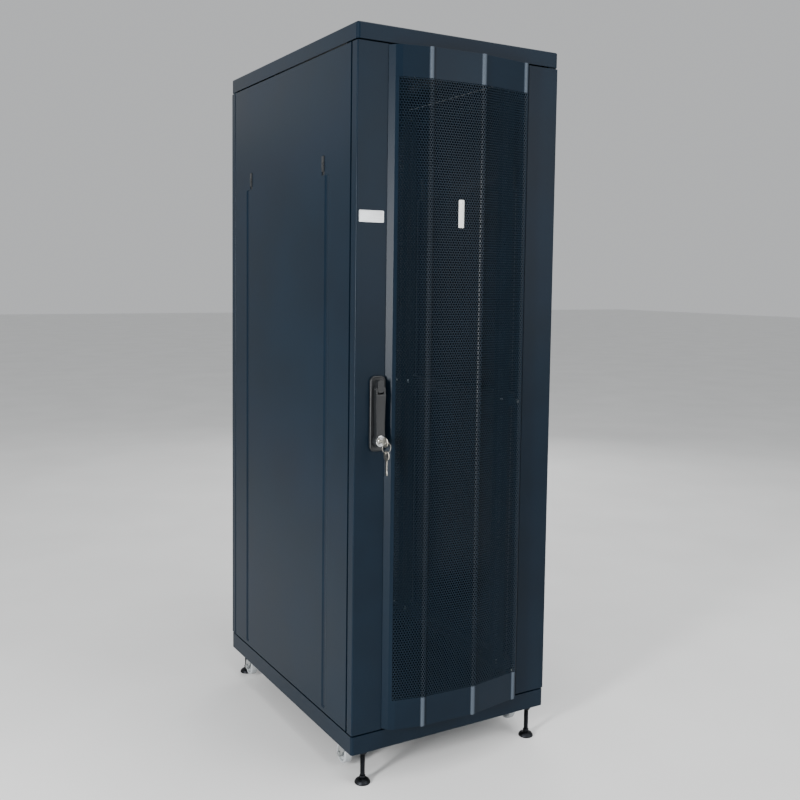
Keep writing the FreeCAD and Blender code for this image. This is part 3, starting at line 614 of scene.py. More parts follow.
def folded_sheet(name, path, low, high):
    """An upright sheet that follows a path in plan, made by pulling its end edge along."""
    (xa, ya), (xb, yb) = path[0], path[1]
    run = math.hypot(xb - xa, yb - ya)
    piece = new_piece(name, bpy.ops.mesh.primitive_plane_add, size=1)
    piece.scale = (run, high - low, 1)
    piece.rotation_euler = (math.pi / 2, 0, math.atan2(yb - ya, xb - xa))
    piece.location = ((xa + xb) / 2, (ya + yb) / 2, (low + high) / 2)
    settle(piece)
    open_edit(piece)
    end = Vector((xb, yb, (low + high) / 2))
    for x, y in path[2:]:
        pick(piece, "EDGE", lambda middle, run: (middle - end).length < 0.01 * MM)
        step = (x - end.x, y - end.y, 0)
        pull_out(step)
        end = Vector((x, y, end.z))
    close_edit()
    return piece


def face_front(piece):
    """Turn the faces of a sheet towards -Y."""
    if sum(face.normal.y * face.area for face in piece.data.polygons) > 0:
        turn_over(piece)


def skin_borders():
    piece = folded_sheet("door_skin_borders", plan, skin_low, skin_high)
    open_edit(piece)
    for place, direction in (((0, 0, window_low), (0, 0, 1)), ((0, 0, window_high), (0, 0, 1)),
                             ((WINDOW_LEFT, 0, 0), (1, 0, 0)), ((WINDOW_RIGHT, 0, 0), (1, 0, 0))):
        score(place, direction)
    pick(piece, "FACE", lambda middle, normal: WINDOW_LEFT < middle.x < WINDOW_RIGHT
         and window_low < middle.z < window_high)
    bpy.ops.mesh.delete(type="FACE")
    close_edit()
    face_front(piece)
    modify(piece, "SOLIDIFY", thickness=SHEET, offset=-1)
    return round_edges(piece, 0.5 * MM, 2, 10)


def end_plate(name, height):
    """Flat plate that closes the bow at one end, between the skin and the door's face."""
    inner = [(x, y + 1.0 * MM) for x, y in plan[2:-2]]
    piece = folded_sheet(name, inner, height, height + SHEET)
    open_edit(piece)
    back = face_y + 1.5 * MM
    pick(piece, "EDGE", lambda middle, run: middle.z < height + 0.1 * MM)
    bpy.ops.mesh.extrude_region_move()
    bpy.ops.transform.resize(value=(1, 0, 1), center_override=(0, back, 0))
    pick(piece, "FACE", lambda middle, normal: abs(normal.z) < 0.5)
    bpy.ops.mesh.delete(type="FACE")
    close_edit()
    return modify(piece, "SOLIDIFY", thickness=SHEET, offset=0)


borders = join("door_skin_borders", [skin_borders(), end_plate("skin_foot", skin_low),
                                     end_plate("skin_head", skin_high - SHEET)])
level_shading(smooth(borders, 20))
finish_piece(borders, "front_door", "black_powder_coat", coat_door, "front_door_skin")

# %% Punched facets of the skin


def clipped_facets():
    """(start point, end point, distance along the sheet) of each facet inside the window."""
    facets, travelled = [], 0.0
    for (xa, ya), (xb, yb) in zip(plan, plan[1:]):
        run = math.hypot(xb - xa, yb - ya)
        left, right = max(xa, WINDOW_LEFT), min(xb, WINDOW_RIGHT)
        if right - left > 0.1 * MM:
            def on(x):
                return (x, ya + (yb - ya) * (x - xa) / (xb - xa))
            facets.append((on(left), on(right), travelled + run * (left - xa) / (xb - xa)))
        travelled += run
    return facets


def punched_facet(number, start, end, travelled):
    run = math.hypot(end[0] - start[0], end[1] - start[1])
    piece = punched_sheet("punched_facet_%02d" % number, travelled, run, window_low, window_high)
    piece.rotation_euler.z = math.atan2(end[1] - start[1], end[0] - start[0])
    piece.location = (start[0], start[1], 0)
    return settle(piece)


facets = [punched_facet(i, *facet) for i, facet in enumerate(clipped_facets())]
wide = [piece for piece in facets if max(piece.dimensions.x, 0) > 50 * MM]
narrow = [piece for piece in facets if piece not in wide]
bead_mesh = join("door_mesh_beads", narrow)
finish_piece(bead_mesh, "front_door", "black_powder_coat", coat_mesh, "front_door_skin")
for number, piece in enumerate(wide, start=1):
    piece.name = "door_mesh_facet_%d" % number
    finish_piece(piece, "front_door", "black_powder_coat", coat_mesh, "front_door_skin")

# %% [markdown]
# ## The rear door's mesh
# The rear door is flat, so its sheet needs no folds. It is made in four heights, which keeps
# each piece light enough to export whole.

# %% Rear mesh


def rear_mesh():
    low, high = box_of("rear_door_mesh")
    stretches = 4
    tall = (high.z - low.z) / stretches
    tall = round(tall / (2 * ROW)) * 2 * ROW
    for number in range(stretches):
        bottom = low.z + number * tall
        top = high.z if number == stretches - 1 else bottom + tall
        piece = punched_sheet("rear_mesh_%d" % (number + 1), 0, high.x - low.x, bottom, top)
        piece.rotation_euler.z = math.pi
        piece.location = (high.x, high.y, 0)
        settle(piece)
        finish_piece(piece, "rear_door", "black_powder_coat", coat_outside, "rear_door_mesh")


rear_mesh()

# %% [markdown]
# ## Side panels
# A side panel is a thin sheet with its edges folded in. Two long shallow grooves are pressed
# into it to stop it drumming, and two windows near the top hold its latches. The sheet is
# cut along every line of the grooves and windows by bisecting; the floor of a groove is then
# pushed in, which leaves its sides sloping, and the windows' faces are deleted.

# %% Pressed panel
panel_low, panel_high = box_of("side_panel_left")
RIM_REACH = 0.1 * MM                     # an edge this near the outline lies on the rim
latch_low = {end: Vector(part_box("side_latch_%s_left" % end)[0]) for end in ("front", "rear")}
latch_high = {end: Vector(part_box("side_latch_%s_left" % end)[1]) for end in ("front", "rear")}
GROOVE_FLOOR, GROOVE_SLOPE, GROOVE_DEPTH = 10 * MM, 6 * MM, 2.5 * MM
groove_middles = [panel_low.y + 123 * MM, panel_low.y + 638 * MM]
groove_low, groove_high = panel_low.z + 10 * MM, panel_low.z + 1380 * MM
latch_middles = [(latch_low[end].y + latch_high[end].y) / 2 for end in ("front", "rear")]
latch_z = panel_low.z + 1400 * MM
WINDOW_HALF_WIDTH, WINDOW_HALF_HEIGHT = 7 * MM, 24 * MM


def pressed_panel():
    piece = new_piece("side_panel_skin_left", bpy.ops.mesh.primitive_plane_add, size=1)
    piece.scale = (panel_high.z - panel_low.z, panel_high.y - panel_low.y, 1)
    piece.rotation_euler = (0, math.pi / 2, 0)
    piece.location = (panel_low.x, (panel_low.y + panel_high.y) / 2,
                      (panel_low.z + panel_high.z) / 2)
    settle(piece)
    across, up = [], []
    for middle in groove_middles:
        across += [middle + side * reach for side in (-1, 1)
                   for reach in (GROOVE_FLOOR / 2, GROOVE_FLOOR / 2 + GROOVE_SLOPE)]
    for middle in latch_middles:
        across += [middle - WINDOW_HALF_WIDTH, middle + WINDOW_HALF_WIDTH]
    up += [groove_low, groove_low + GROOVE_SLOPE, groove_high - GROOVE_SLOPE, groove_high,
           latch_z - WINDOW_HALF_HEIGHT, latch_z + WINDOW_HALF_HEIGHT]
    open_edit(piece)
    for y in across:
        score((0, y, 0), (0, 1, 0))
    for z in up:
        score((0, 0, z), (0, 0, 1))

    def in_groove_floor(middle, normal):
        return groove_low + GROOVE_SLOPE < middle.z < groove_high - GROOVE_SLOPE and any(
            abs(middle.y - y) < GROOVE_FLOOR / 2 for y in groove_middles)
    pick(piece, "FACE", in_groove_floor)
    shift((GROOVE_DEPTH, 0, 0))

    def in_window(middle, normal):
        return abs(middle.z - latch_z) < WINDOW_HALF_HEIGHT and any(
            abs(middle.y - y) < WINDOW_HALF_WIDTH for y in latch_middles)
    pick(piece, "FACE", in_window)
    bpy.ops.mesh.delete(type="FACE")

    def on_rim(middle, run):
        return any(abs(middle.y - edge.y) < RIM_REACH or abs(middle.z - edge.z) < RIM_REACH
                   for edge in (panel_low, panel_high))
    pick(piece, "EDGE", on_rim)
    pull_out((panel_high.x - panel_low.x, 0, 0))
    face_out()
    close_edit()
    skin = [face for face in piece.data.polygons if abs(face.normal.x) > 0.9]
    if skin[0].normal.x > 0:
        turn_over(piece)
    modify(piece, "SOLIDIFY", thickness=SHEET, offset=-1)
    round_edges(piece, 0.9 * MM, 2, 15)
    return level_shading(smooth(piece, 40))


panel_left = pressed_panel()
panel_right = mirror_piece(panel_left, "side_panel_skin_right")
for side, piece in (("left", panel_left), ("right", panel_right)):
    body = "side_panel_%s" % side
    finish_piece(piece, body, "black_powder_coat", coat_outside, body)

# %% [markdown]
# ## Levelling feet
# A foot is an M12 stud riveted into a pressed pad, with a hexagon for a spanner above it. The
# pad is a cylinder whose top is inset and lifted in steps. The thread is real: one tooth's
# outline is wound up the stud by the Screw modifier, its turns are merged and its two ends
# closed. The hexagon is a six-sided cylinder with its corners turned down.

# %% Parts of a levelling foot
STUD_RADIUS, THREAD_PITCH, THREAD_DEPTH = 6.0 * MM, 1.75 * MM, 1.0 * MM


def hexagon_bar(name, across_flats, height, base):
    """A nut-like bar with its corners turned down at both ends."""
    piece = new_piece(name, bpy.ops.mesh.primitive_cylinder_add, vertices=6,
                      radius=across_flats / math.sqrt(3), depth=height)
    piece.location = base + Vector((0, 0, height / 2))
    settle(piece)
    round_edges(piece, 0.07 * across_flats, 2, 30)
    return smooth(piece, 25)


def thread(name, radius, pitch, base, turns, steps=20):
    """A closed threaded rod: one tooth wound round and up."""
    piece = new_piece(name, bpy.ops.mesh.primitive_plane_add, size=pitch)
    open_edit(piece, "VERT")
    take_all()
    bpy.ops.mesh.delete(type="ONLY_FACE")
    pick(piece, "VERT", lambda place, normal: place.x > 0)
    bpy.ops.mesh.delete(type="VERT")
    take_all()
    bpy.ops.mesh.subdivide(number_cuts=1)
    bpy.ops.transform.rotate(value=math.pi / 2, orient_axis="X", center_override=(0, 0, 0))
    close_edit()
    for vert in piece.data.vertices:
        on_crest = abs(vert.co.z) < pitch / 10
        vert.co.x = radius if on_crest else radius - THREAD_DEPTH
    modify(piece, "SCREW", axis="Z", angle=2 * math.pi, screw_offset=pitch, iterations=turns,
           steps=steps, render_steps=steps, use_merge_vertices=True, merge_threshold=0.01 * MM)
    open_edit(piece)
    take_all()
    bpy.ops.mesh.remove_doubles(threshold=0.01 * MM)
    bpy.ops.mesh.fill_holes(sides=0)
    face_out()
    close_edit()
    piece.location = base
    return smooth(settle(piece), 50)


def stepped_disc(name, radius, steps, base, vertices=48):
    """A round pad: a disc whose top is inset and lifted, step by step."""
    piece = new_piece(name, bpy.ops.mesh.primitive_cylinder_add, vertices=vertices,
                      radius=radius, depth=steps[0])
    piece.location = base + Vector((0, 0, steps[0] / 2))
    settle(piece)
    open_edit(piece)
    pick(piece, "FACE", lambda place, normal: normal.z > 0.9)
    for inward, upward in steps[1]:
        inset(inward)
        shift((0, 0, upward))
    close_edit()
    round_edges(piece, 0.8 * MM, 2, 20)
    return smooth(piece, 30)


def levelling_foot(name, node):
    low, high = box_of(node)
    base = Vector(((low.x + high.x) / 2, (low.y + high.y) / 2, low.z))
    pad = stepped_disc(name + "_pad", 20 * MM,
                       (3.5 * MM, [(3.5 * MM, 5 * MM), (7 * MM, 3.5 * MM)]), base)
    collar = hexagon_bar(name + "_collar", 14 * MM, 8 * MM, base + Vector((0, 0, 12 * MM)))
    stud = thread(name + "_stud", STUD_RADIUS, THREAD_PITCH,
                  base + Vector((0, 0, 20 * MM + THREAD_PITCH / 2)), turns=38)
    return join(name, [pad, collar, stud])


corners = [(end, side) for end in ("front", "rear") for side in ("left", "right")]
for end, side in corners:
    node = "levelling_foot_%s_%s" % (end, side)
    foot = levelling_foot("foot_%s_%s" % (end, side), node)
    finish_piece(foot, node, "black_oxide_steel", black_oxide, node)

# %% Lock nuts under the base
nut_low, nut_high = box_of("foot_lock_nuts")
nuts = []
for end, side in corners:
    low, high = box_of("levelling_foot_%s_%s" % (end, side))
    base = Vector(((low.x + high.x) / 2, (low.y + high.y) / 2, nut_low.z))
    nuts.append(hexagon_bar("lock_nut", 19 * MM, nut_high.z - nut_low.z, base))
nuts = join("lock_nuts", nuts)
finish_piece(nuts, "cabinet", "black_oxide_steel", black_oxide, "foot_lock_nuts")

# %% [markdown]
# ## Caster wheels
# A wheel is one moulding: a tread with rounded shoulders, a thin web and a hub. It is round
# about its axle, so half of its section is drawn once and spun a full turn.

# %% Caster wheel


def spun(name, outline, steps=56):
    """Turn a closed outline of (distance along X, radius) points about the X axis."""
    piece = new_piece(name, bpy.ops.mesh.primitive_circle_add, vertices=len(outline),
                      radius=1.0, fill_type="NOTHING")
    for vert, (along, radius) in zip(piece.data.vertices, outline):
        vert.co = (along, 0, radius)
    open_edit(piece)
    take_all()
    bpy.ops.mesh.spin(steps=steps, angle=2 * math.pi, center=(0, 0, 0), axis=(1, 0, 0))
    take_all()
    bpy.ops.mesh.remove_doubles(threshold=0.005 * MM)
    bpy.ops.mesh.normals_make_consistent(inside=False)
    close_edit()
    return smooth(piece, 32)


def wheel_outline(radius, half_width, web_radius, web_half, hub_radius, hub_half, bore):
    """Half of the section from the bore out to the tread and back, with round shoulders."""
    shoulder = 3.0 * MM
    right = [(hub_half, bore), (hub_half, hub_radius - 0.6 * MM), (hub_half - 0.6 * MM, hub_radius),
             (web_half, hub_radius + 1.0 * MM), (web_half, web_radius - 1.0 * MM),
             (half_width - 0.6 * MM, web_radius), (half_width, web_radius + 0.6 * MM)]
    for i in range(5):
        turn = math.radians(22.5 * i)
        right.append((half_width - shoulder + shoulder * math.cos(turn),
                      radius - shoulder + shoulder * math.sin(turn)))
    return right + [(-x, r) for x, r in right[::-1]]


wheel_section = wheel_outline(25 * MM, 10 * MM, 19 * MM, 4 * MM, 8 * MM, 12.5 * MM, 4.05 * MM)
for end, side in corners:
    node = "caster_wheel_%s_%s" % (end, side)
    low, high = box_of(node)
    wheel = spun("wheel_%s_%s" % (end, side), wheel_section)
    wheel.location = (low + high) / 2
    settle(wheel)
    finish_piece(wheel, node, "grey_wheel_plastic", wheel_plastic, node)

# %% [markdown]
# ## Screws and bolts
# The roof, its entry covers and the casters are held by pan-head screws with a cross recess,
# the beams and rails by hexagon bolts. One of each is modelled and copied. The recess is cut
# by bisecting the head into a grid and pushing the cross in, narrower at its floor.

# %% Pan-head screws
HEAD_RADIUS, HEAD_HEIGHT, SCREW_RADIUS, SCREW_LENGTH = 5 * MM, 2.6 * MM, 2.5 * MM, 5 * MM


def pan_head_screw():
    """A screw at the origin: its head stands on z = 0."""
    piece = new_piece("pan_head", bpy.ops.mesh.primitive_cylinder_add, vertices=20,
                      radius=HEAD_RADIUS, depth=HEAD_HEIGHT, location=(0, 0, HEAD_HEIGHT / 2))
    settle(piece)
    open_edit(piece)
    pick(piece, "FACE", lambda place, normal: normal.z > 0.9)
    inset(0.5 * MM)
    inset(0.9 * MM)
    shift((0, 0, 0.01 * MM))
    pick(piece, "EDGE", lambda place, run: abs(run.z) < 0.001 * MM and place.z > HEAD_HEIGHT * 0.99
         and place.xy.length > 4.8 * MM)
    shift((0, 0, -1.0 * MM))
    arm, half = 2.4 * MM, 0.55 * MM
    for reach in (-arm, -half, half, arm):
        for direction in ((1, 0, 0), (0, 1, 0)):
            pick(piece, "FACE", lambda place, normal: normal.z > 0.9 and place.xy.length < 3.7 * MM
                 and place.z > HEAD_HEIGHT * 0.9)
            place = Vector(direction) * reach
            bpy.ops.mesh.bisect(plane_co=place, plane_no=direction, threshold=1e-7)
    pick(piece, "FACE", lambda place, normal: normal.z > 0.9 and place.z > HEAD_HEIGHT * 0.9
         and min(abs(place.x), abs(place.y)) < half and max(abs(place.x), abs(place.y)) < arm)
    pull_out((0, 0, -1.5 * MM))
    bpy.ops.transform.resize(value=(0.8, 0.8, 1), center_override=(0, 0, 0))
    pick(piece, "FACE", lambda place, normal: normal.z < -0.9 and place.z < 0.1 * MM)
    inset(HEAD_RADIUS - SCREW_RADIUS)
    pull_out((0, 0, -SCREW_LENGTH))
    close_edit()
    return smooth(piece, 35)


def placed(pattern, places):
    """Copies of a pattern at each (place, turn about X in radians), the pattern removed."""
    copies = []
    for place, turn in places:
        twin = copy_piece(pattern, pattern.name + "_copy")
        twin.rotation_euler.x = turn
        twin.location = place
        copies.append(settle(twin))
    bpy.data.objects.remove(pattern)
    return copies


roof_low, roof_high = box_of("top_cover")
roof_middle_y = (roof_low.y + roof_high.y) / 2
roof_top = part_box("roof_entry_covers")[0].z
cover_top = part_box("roof_entry_covers")[1].z
screw_places = [(Vector((x * MM, roof_middle_y + side * 345 * MM, roof_top)), 0)
                for x in (-240, 0, 240) for side in (-1, 1)]
screw_places += [(Vector((side * x * MM, roof_middle_y + 245 * MM, cover_top)), 0)
                 for x in (34, 226) for side in (-1, 1)]
plate_high = box_of("caster_plates")[1]
plate_under = plate_high.z - 3 * MM
for sign_x in (-1, 1):
    for sign_y in (-1, 1):
        centre = Vector((sign_x * (plate_high.x - 28 * MM),
                         roof_middle_y + sign_y * (plate_high.y - roof_middle_y - 28 * MM),
                         plate_under))
        screw_places += [(centre + Vector((dx, dy, 0)), math.pi)
                         for dx in (-21 * MM, 21 * MM) for dy in (-21 * MM, 21 * MM)]
screws = join("cross_head_screws", placed(pan_head_screw(), screw_places))
finish_piece(screws, "cabinet", "zinc_plated_steel", zinc_plate, "pan_head_screws")
print(len(screw_places), "screws")

# %% Hexagon bolts


def hexagon_bolt():
    """A bolt along X at the origin: its head runs from x = 0 to +x, its shank to -x."""
    piece = new_piece("hexagon_bolt", bpy.ops.mesh.primitive_cylinder_add, vertices=6,
                      radius=10 * MM / math.sqrt(3), depth=4 * MM, location=(0, 0, 2 * MM))
    settle(piece)
    open_edit(piece)
    pick(piece, "FACE", lambda place, normal: normal.z > 0.9)
    inset(0.7 * MM)
    shift((0, 0, 0.01 * MM))
    pick(piece, "EDGE", lambda place, run: abs(run.z) < 0.001 * MM and place.z > 3.9 * MM
         and place.xy.length > 4.6 * MM)
    shift((0, 0, -0.5 * MM))
    pick(piece, "FACE", lambda place, normal: normal.z < -0.9)
    inset(1.4 * MM)
    pull_out((0, 0, -8 * MM))
    take_all()
    bpy.ops.transform.rotate(value=-math.pi / 2, orient_axis="Y", center_override=(0, 0, 0))
    close_edit()
    top = max(vert.co.x for vert in piece.data.vertices)
    if top > 5 * MM:
        piece.scale.x = -1
        settle(piece)
        open_edit(piece)
        face_out()
        close_edit()
    return piece


def bolt_set():
    post_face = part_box("front_frame")[0].x + 31 * MM
    rail_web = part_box("mounting_rail_front_left")[0].x
    frame_y = [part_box("front_frame")[0].y + 48 * MM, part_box("rear_frame")[1].y - 48 * MM]
    rail_y = [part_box("mounting_rail_front_left")[0].y + 24 * MM,
              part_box("mounting_rail_rear_left")[1].y - 24 * MM]
    pattern, bolts = hexagon_bolt(), []
    for level in ("bottom", "middle", "top"):
        low, high = box_of("depth_beam_%s_left" % level)
        height = (low.z + high.z) / 2
        places = [Vector((post_face, y, height)) for y in frame_y]
        places += [Vector((rail_web + 2 * MM, y, height)) for y in rail_y]
        bolts += [copy_piece(pattern, "bolt", place) for place in places]
    bpy.data.objects.remove(pattern)
    left = join("bolts_left", bolts)
    right = mirror_piece(left, "bolts_right")
    return join("hexagon_bolts", [left, right])


finish_piece(bolt_set(), "cabinet", "zinc_plated_steel", zinc_plate, "hex_bolts")

# %% [markdown]
# ## Swing handle
# The handle has a base plate screwed to the stile and a long lever that lies in front of it.
# The base is a block with broad rounds at its corners and a shallow tray pressed into its
# face. The lever is a block cut into stretches by bisecting, so that its waist can be drawn
# in, with a round boss for the lock. Boss and grip are made one body by a Boolean union, its
# lock hole is cut by a Boolean difference, and its edges are rounded by a bevel.

# %% Handle base
base_low, base_high = box_of("handle_base")
lever_low, lever_high = box_of("handle_lever")
lock_low, lock_high = box_of("lock_cylinder")
rotor_top = box_of("handle_rotor")[1].z
pin_low, pin_high = box_of("lever_pivot_pin")
handle_x = (base_low.x + base_high.x) / 2
lock_centre = (lock_low + lock_high) / 2
pivot = (pin_low + pin_high) / 2


def block(name, low, high):
    """A cube stretched between two corners, as a start."""
    piece = new_piece(name, bpy.ops.mesh.primitive_cube_add, size=1)
    piece.scale = high - low
    piece.location = (low + high) / 2
    return settle(piece)


def cylinder(name, radius, start, end, vertices=48):
    """A cylinder between two points, as a start or a cutter."""
    run = end - start
    piece = new_piece(name, bpy.ops.mesh.primitive_cylinder_add, vertices=vertices,
                      radius=radius, depth=run.length)
    piece.rotation_mode = "QUATERNION"
    piece.rotation_quaternion = Vector((0, 0, 1)).rotation_difference(run)
    piece.location = (start + end) / 2
    settle(piece)
    piece.rotation_mode = "XYZ"
    return piece


def combine(piece, tool, operation):
    """Boolean with a tool that is used up."""
    modify(piece, "BOOLEAN", operation=operation, object=tool, solver="EXACT")
    bpy.data.objects.remove(tool)
    return piece


def handle_base():
    piece = block("swing_handle_base", base_low, base_high)
    open_edit(piece)
    pick(piece, "EDGE", lambda place, run: abs(run.y) > 1 * MM)
    bpy.ops.mesh.bevel(offset=13 * MM, segments=8, profile=0.5, affect="EDGES")
    pick(piece, "FACE", lambda place, normal: normal.y < -0.9)
    inset(2.2 * MM)
    shift((0, 0.01 * MM, 0))
    inset(1.4 * MM)
    shift((0, 1.2 * MM, 0))
    rim = base_low.y + 0.005 * MM
    pick(piece, "EDGE", lambda place, run: place.y < rim and abs(run.y) < 0.001 * MM)
    shift((0, 1.6 * MM, 0))
    close_edit()
    round_edges(piece, 0.4 * MM, 2, 30)
    rotor_centre = Vector((handle_x, base_low.y, rotor_top - 11 * MM))
    hole = cylinder("rotor_hole", 9.1 * MM, rotor_centre + Vector((0, -20 * MM, 0)),
                    rotor_centre + Vector((0, 20 * MM, 0)))
    combine(piece, hole, "DIFFERENCE")
    return smooth(piece, 32)


finish_piece(handle_base(), "front_door", "black_plastic", handle_nylon, "handle_base")

# %% Handle lever


def handle_lever():
    waist_half, top_half = 11 * MM, 13 * MM
    top_z = lever_high.z - 18 * MM
    grip = block("swing_handle_lever", Vector((handle_x - top_half, lever_low.y, lock_centre.z)),
                 Vector((handle_x + top_half, lever_high.y, top_z)))
    open_edit(grip)
    for height in (lock_centre.z + 22 * MM, lock_centre.z + 40 * MM,
                   top_z - 26 * MM, top_z - 8 * MM):
        score((0, 0, height), (0, 0, 1))
    pick(grip, "VERT", lambda place, normal: place.z < top_z - 27 * MM)
    bpy.ops.transform.resize(value=(waist_half / top_half, 1, 1),
                             center_override=(handle_x, 0, 0))
    pick(grip, "VERT", lambda place, normal: place.y < lever_low.y + 0.1 * MM
         and lock_centre.z + 39 * MM < place.z < top_z - 25 * MM)
    shift((0, 1.6 * MM, 0))
    close_edit()
    boss = cylinder("lock_boss", 16 * MM, Vector((handle_x, lever_low.y, lock_centre.z)),
                    Vector((handle_x, lever_high.y, lock_centre.z)), 56)
    combine(grip, boss, "UNION")
    for side in (-1, 1):
        inner, outer = sorted((handle_x + side * 9.0 * MM, handle_x + side * top_half))
        ear = cylinder("ear", 6 * MM, Vector((inner, pivot.y, pivot.z)),
                       Vector((outer, pivot.y, pivot.z)), 32)
        web = block("ear_web", Vector((inner, pivot.y - 6 * MM, top_z - 5 * MM)),
                    Vector((outer, pivot.y + 6 * MM, pivot.z)))
        combine(grip, ear, "UNION")
        combine(grip, web, "UNION")
    hole = cylinder("lock_hole", 10.0 * MM, Vector((handle_x, lever_low.y - 5 * MM, lock_centre.z)),
                    Vector((handle_x, lever_high.y + 5 * MM, lock_centre.z)))
    combine(grip, hole, "DIFFERENCE")
    bore = cylinder("pivot_bore", 2.05 * MM, Vector((handle_x - 20 * MM, pivot.y, pivot.z)),
                    Vector((handle_x + 20 * MM, pivot.y, pivot.z)), 24)
    combine(grip, bore, "DIFFERENCE")
    round_edges(grip, 1.3 * MM, 3, 40)
    return smooth(grip, 32)


finish_piece(handle_lever(), "handle_lever", "black_plastic", handle_nylon, "handle_lever")

# %% [markdown]
# ## Lock, keys and ring
# The lock's plug has a broad polished face with a turned groove and a keyway. The keys are
# stamped from sheet: a round bow with a hole, pulled out into a blade. The blade is divided
# along its length by bisecting, and its lower edge is lifted at some of those places, as a
# key cutter does. The ring is a wire wound twice, which the Screw modifier makes.

# %% Lock cylinder


def lock_cylinder():
    face_y_place = lock_low.y
    piece = cylinder("lock_plug", 13.5 * MM,
                     Vector((handle_x, face_y_place + 2.7 * MM, lock_centre.z)),
                     Vector((handle_x, face_y_place, lock_centre.z)), 56)
    open_edit(piece)
    pick(piece, "FACE", lambda place, normal: normal.y < -0.9)
    for inward, outward in ((1.2 * MM, -0.01 * MM), (2.6 * MM, 0), (0.5 * MM, 0.5 * MM),
                            (0.5 * MM, 0), (0.4 * MM, -0.5 * MM)):
        inset(inward)
        shift((0, outward, 0))
    pick(piece, "EDGE", lambda place, run: place.y < face_y_place + 0.005 * MM
         and Vector((place.x - handle_x, place.z - lock_centre.z)).length > 12.9 * MM
         and abs(run.y) < 0.001 * MM)
    shift((0, 1.0 * MM, 0))
    pick(piece, "FACE", lambda place, normal: normal.y > 0.9)
    inset(3.55 * MM)
    pull_out((0, lock_high.y - face_y_place - 2.7 * MM, 0))
    face_out()
    close_edit()
    keyway = block("keyway",
                   Vector((handle_x - 1.3 * MM, face_y_place - 2 * MM, lock_centre.z - 4.3 * MM)),
                   Vector((handle_x + 1.3 * MM, lock_high.y - 1.0 * MM, lock_centre.z + 4.3 * MM)))
    combine(piece, keyway, "DIFFERENCE")
    return smooth(piece, 30)


finish_piece(lock_cylinder(), "lock_cylinder", "chromed_zinc", chrome, "lock_cylinder")

# %% Keys
KEY_HALF = 1.1 * MM
BOW_RADIUS, BOW_HOLE = 12 * MM, 3.5 * MM
NOTCHES = [0.0, 1.4, 0.5, 2.0, 0.9, 2.2, 1.2, 0.4]


def flat_key(name, bow_centre, hole_offset, blade_start, blade_run):
    """A key in an upright plane; hole_offset and blade_run are directions in that plane."""
    side = Vector((KEY_HALF, 0, 0))
    bow = cylinder(name, BOW_RADIUS, bow_centre - side, bow_centre + side, 40)
    open_edit(bow)
    pick(bow, "FACE", lambda place, normal: abs(normal.x) > 0.9)
    inset(2.0 * MM, use_individual=True)
    bpy.ops.transform.resize(value=(0.82, 1, 1), center_override=bow_centre)
    close_edit()
    hole_centre = bow_centre + hole_offset
    combine(bow, cylinder("bow_hole", BOW_HOLE, hole_centre - side * 3, hole_centre + side * 3, 28),
            "DIFFERENCE")
    across = Vector((1, 0, 0)).cross(blade_run).normalized() * 4 * MM
    ends = list(zip(blade_start - across, blade_start + blade_run + across))
    low, high = Vector([min(pair) for pair in ends]), Vector([max(pair) for pair in ends])
    blade = block("blade", low - side * 0.9, high + side * 0.9)
    direction = blade_run.normalized()
    open_edit(blade)
    step = blade_run.length / (len(NOTCHES) + 1)
    for i in range(len(NOTCHES)):
        take_all()
        bpy.ops.mesh.bisect(plane_co=blade_start + direction * step * (i + 1), plane_no=direction,
                            threshold=1e-7)
    for i, depth in enumerate(NOTCHES):
        place_along = step * (i + 1)
        pick(blade, "VERT", lambda place, normal: abs((place - blade_start).dot(direction)
             - place_along) < 0.1 * MM and (place - blade_start).dot(across) < 0)
        shift(across.normalized() * depth * MM)
    close_edit()
    combine(bow, blade, "UNION")
    round_edges(bow, 0.25 * MM, 2, 35)
    return smooth(bow, 30)


ring_low, ring_high = box_of("key_ring")
ring_centre = (ring_low + ring_high) / 2
key_low, key_high = box_of("key")
spare_low, spare_high = box_of("spare_key")
lock_key = flat_key("lock_key", Vector((handle_x, key_low.y + BOW_RADIUS, lock_centre.z)),
                    Vector((0, -7 * MM, 0)),
                    Vector((handle_x, key_low.y + 17 * MM, lock_centre.z)),
                    Vector((0, key_high.y - key_low.y - 17 * MM, 0)))
finish_piece(lock_key, "lock_cylinder", "nickel_steel", nickel, "key")
spare_middle_y = (spare_low.y + spare_high.y) / 2
spare = flat_key("second_key", Vector((handle_x, spare_middle_y, spare_high.z - BOW_RADIUS)),
                 Vector((0, 0, 7 * MM)),
                 Vector((handle_x, spare_middle_y, spare_high.z - 19 * MM)),
                 Vector((0, 0, -(spare_high.z - spare_low.z - 19 * MM))))
finish_piece(spare, "key_ring", "nickel_steel", nickel, "spare_key")

# %% Key ring
WIRE = 0.42 * MM


def split_ring():
    """Wire wound twice round the Y axis, its two ends closed."""
    piece = new_piece("split_ring", bpy.ops.mesh.primitive_circle_add, vertices=8,
                      radius=WIRE, fill_type="NOTHING", rotation=(math.pi / 2, 0, 0),
                      location=(12 * MM, 0, 0))
    settle(piece)
    modify(piece, "SCREW", axis="Z", angle=4 * math.pi * 0.98, screw_offset=0.8 * MM,
           iterations=1, steps=96, render_steps=96, use_merge_vertices=False)
    open_edit(piece)
    take_all()
    bpy.ops.mesh.fill_holes(sides=0)
    face_out()
    shift((0, 0, -0.4 * MM))
    close_edit()
    piece.rotation_euler.x = math.pi / 2
    piece.location = ring_centre
    return smooth(settle(piece), 60)


finish_piece(split_ring(), "key_ring", "nickel_steel", nickel, "key_ring")

# %% [markdown]
# ## Blank plate and tag strip
# The plate on the stile is blank anodised aluminium with a raised rim, and the tag is a white
# plastic strip held by one rivet. Both carry no lettering. The plate's rim is made by insetting
# its face and pushing the middle back.

# %% Plate and tag


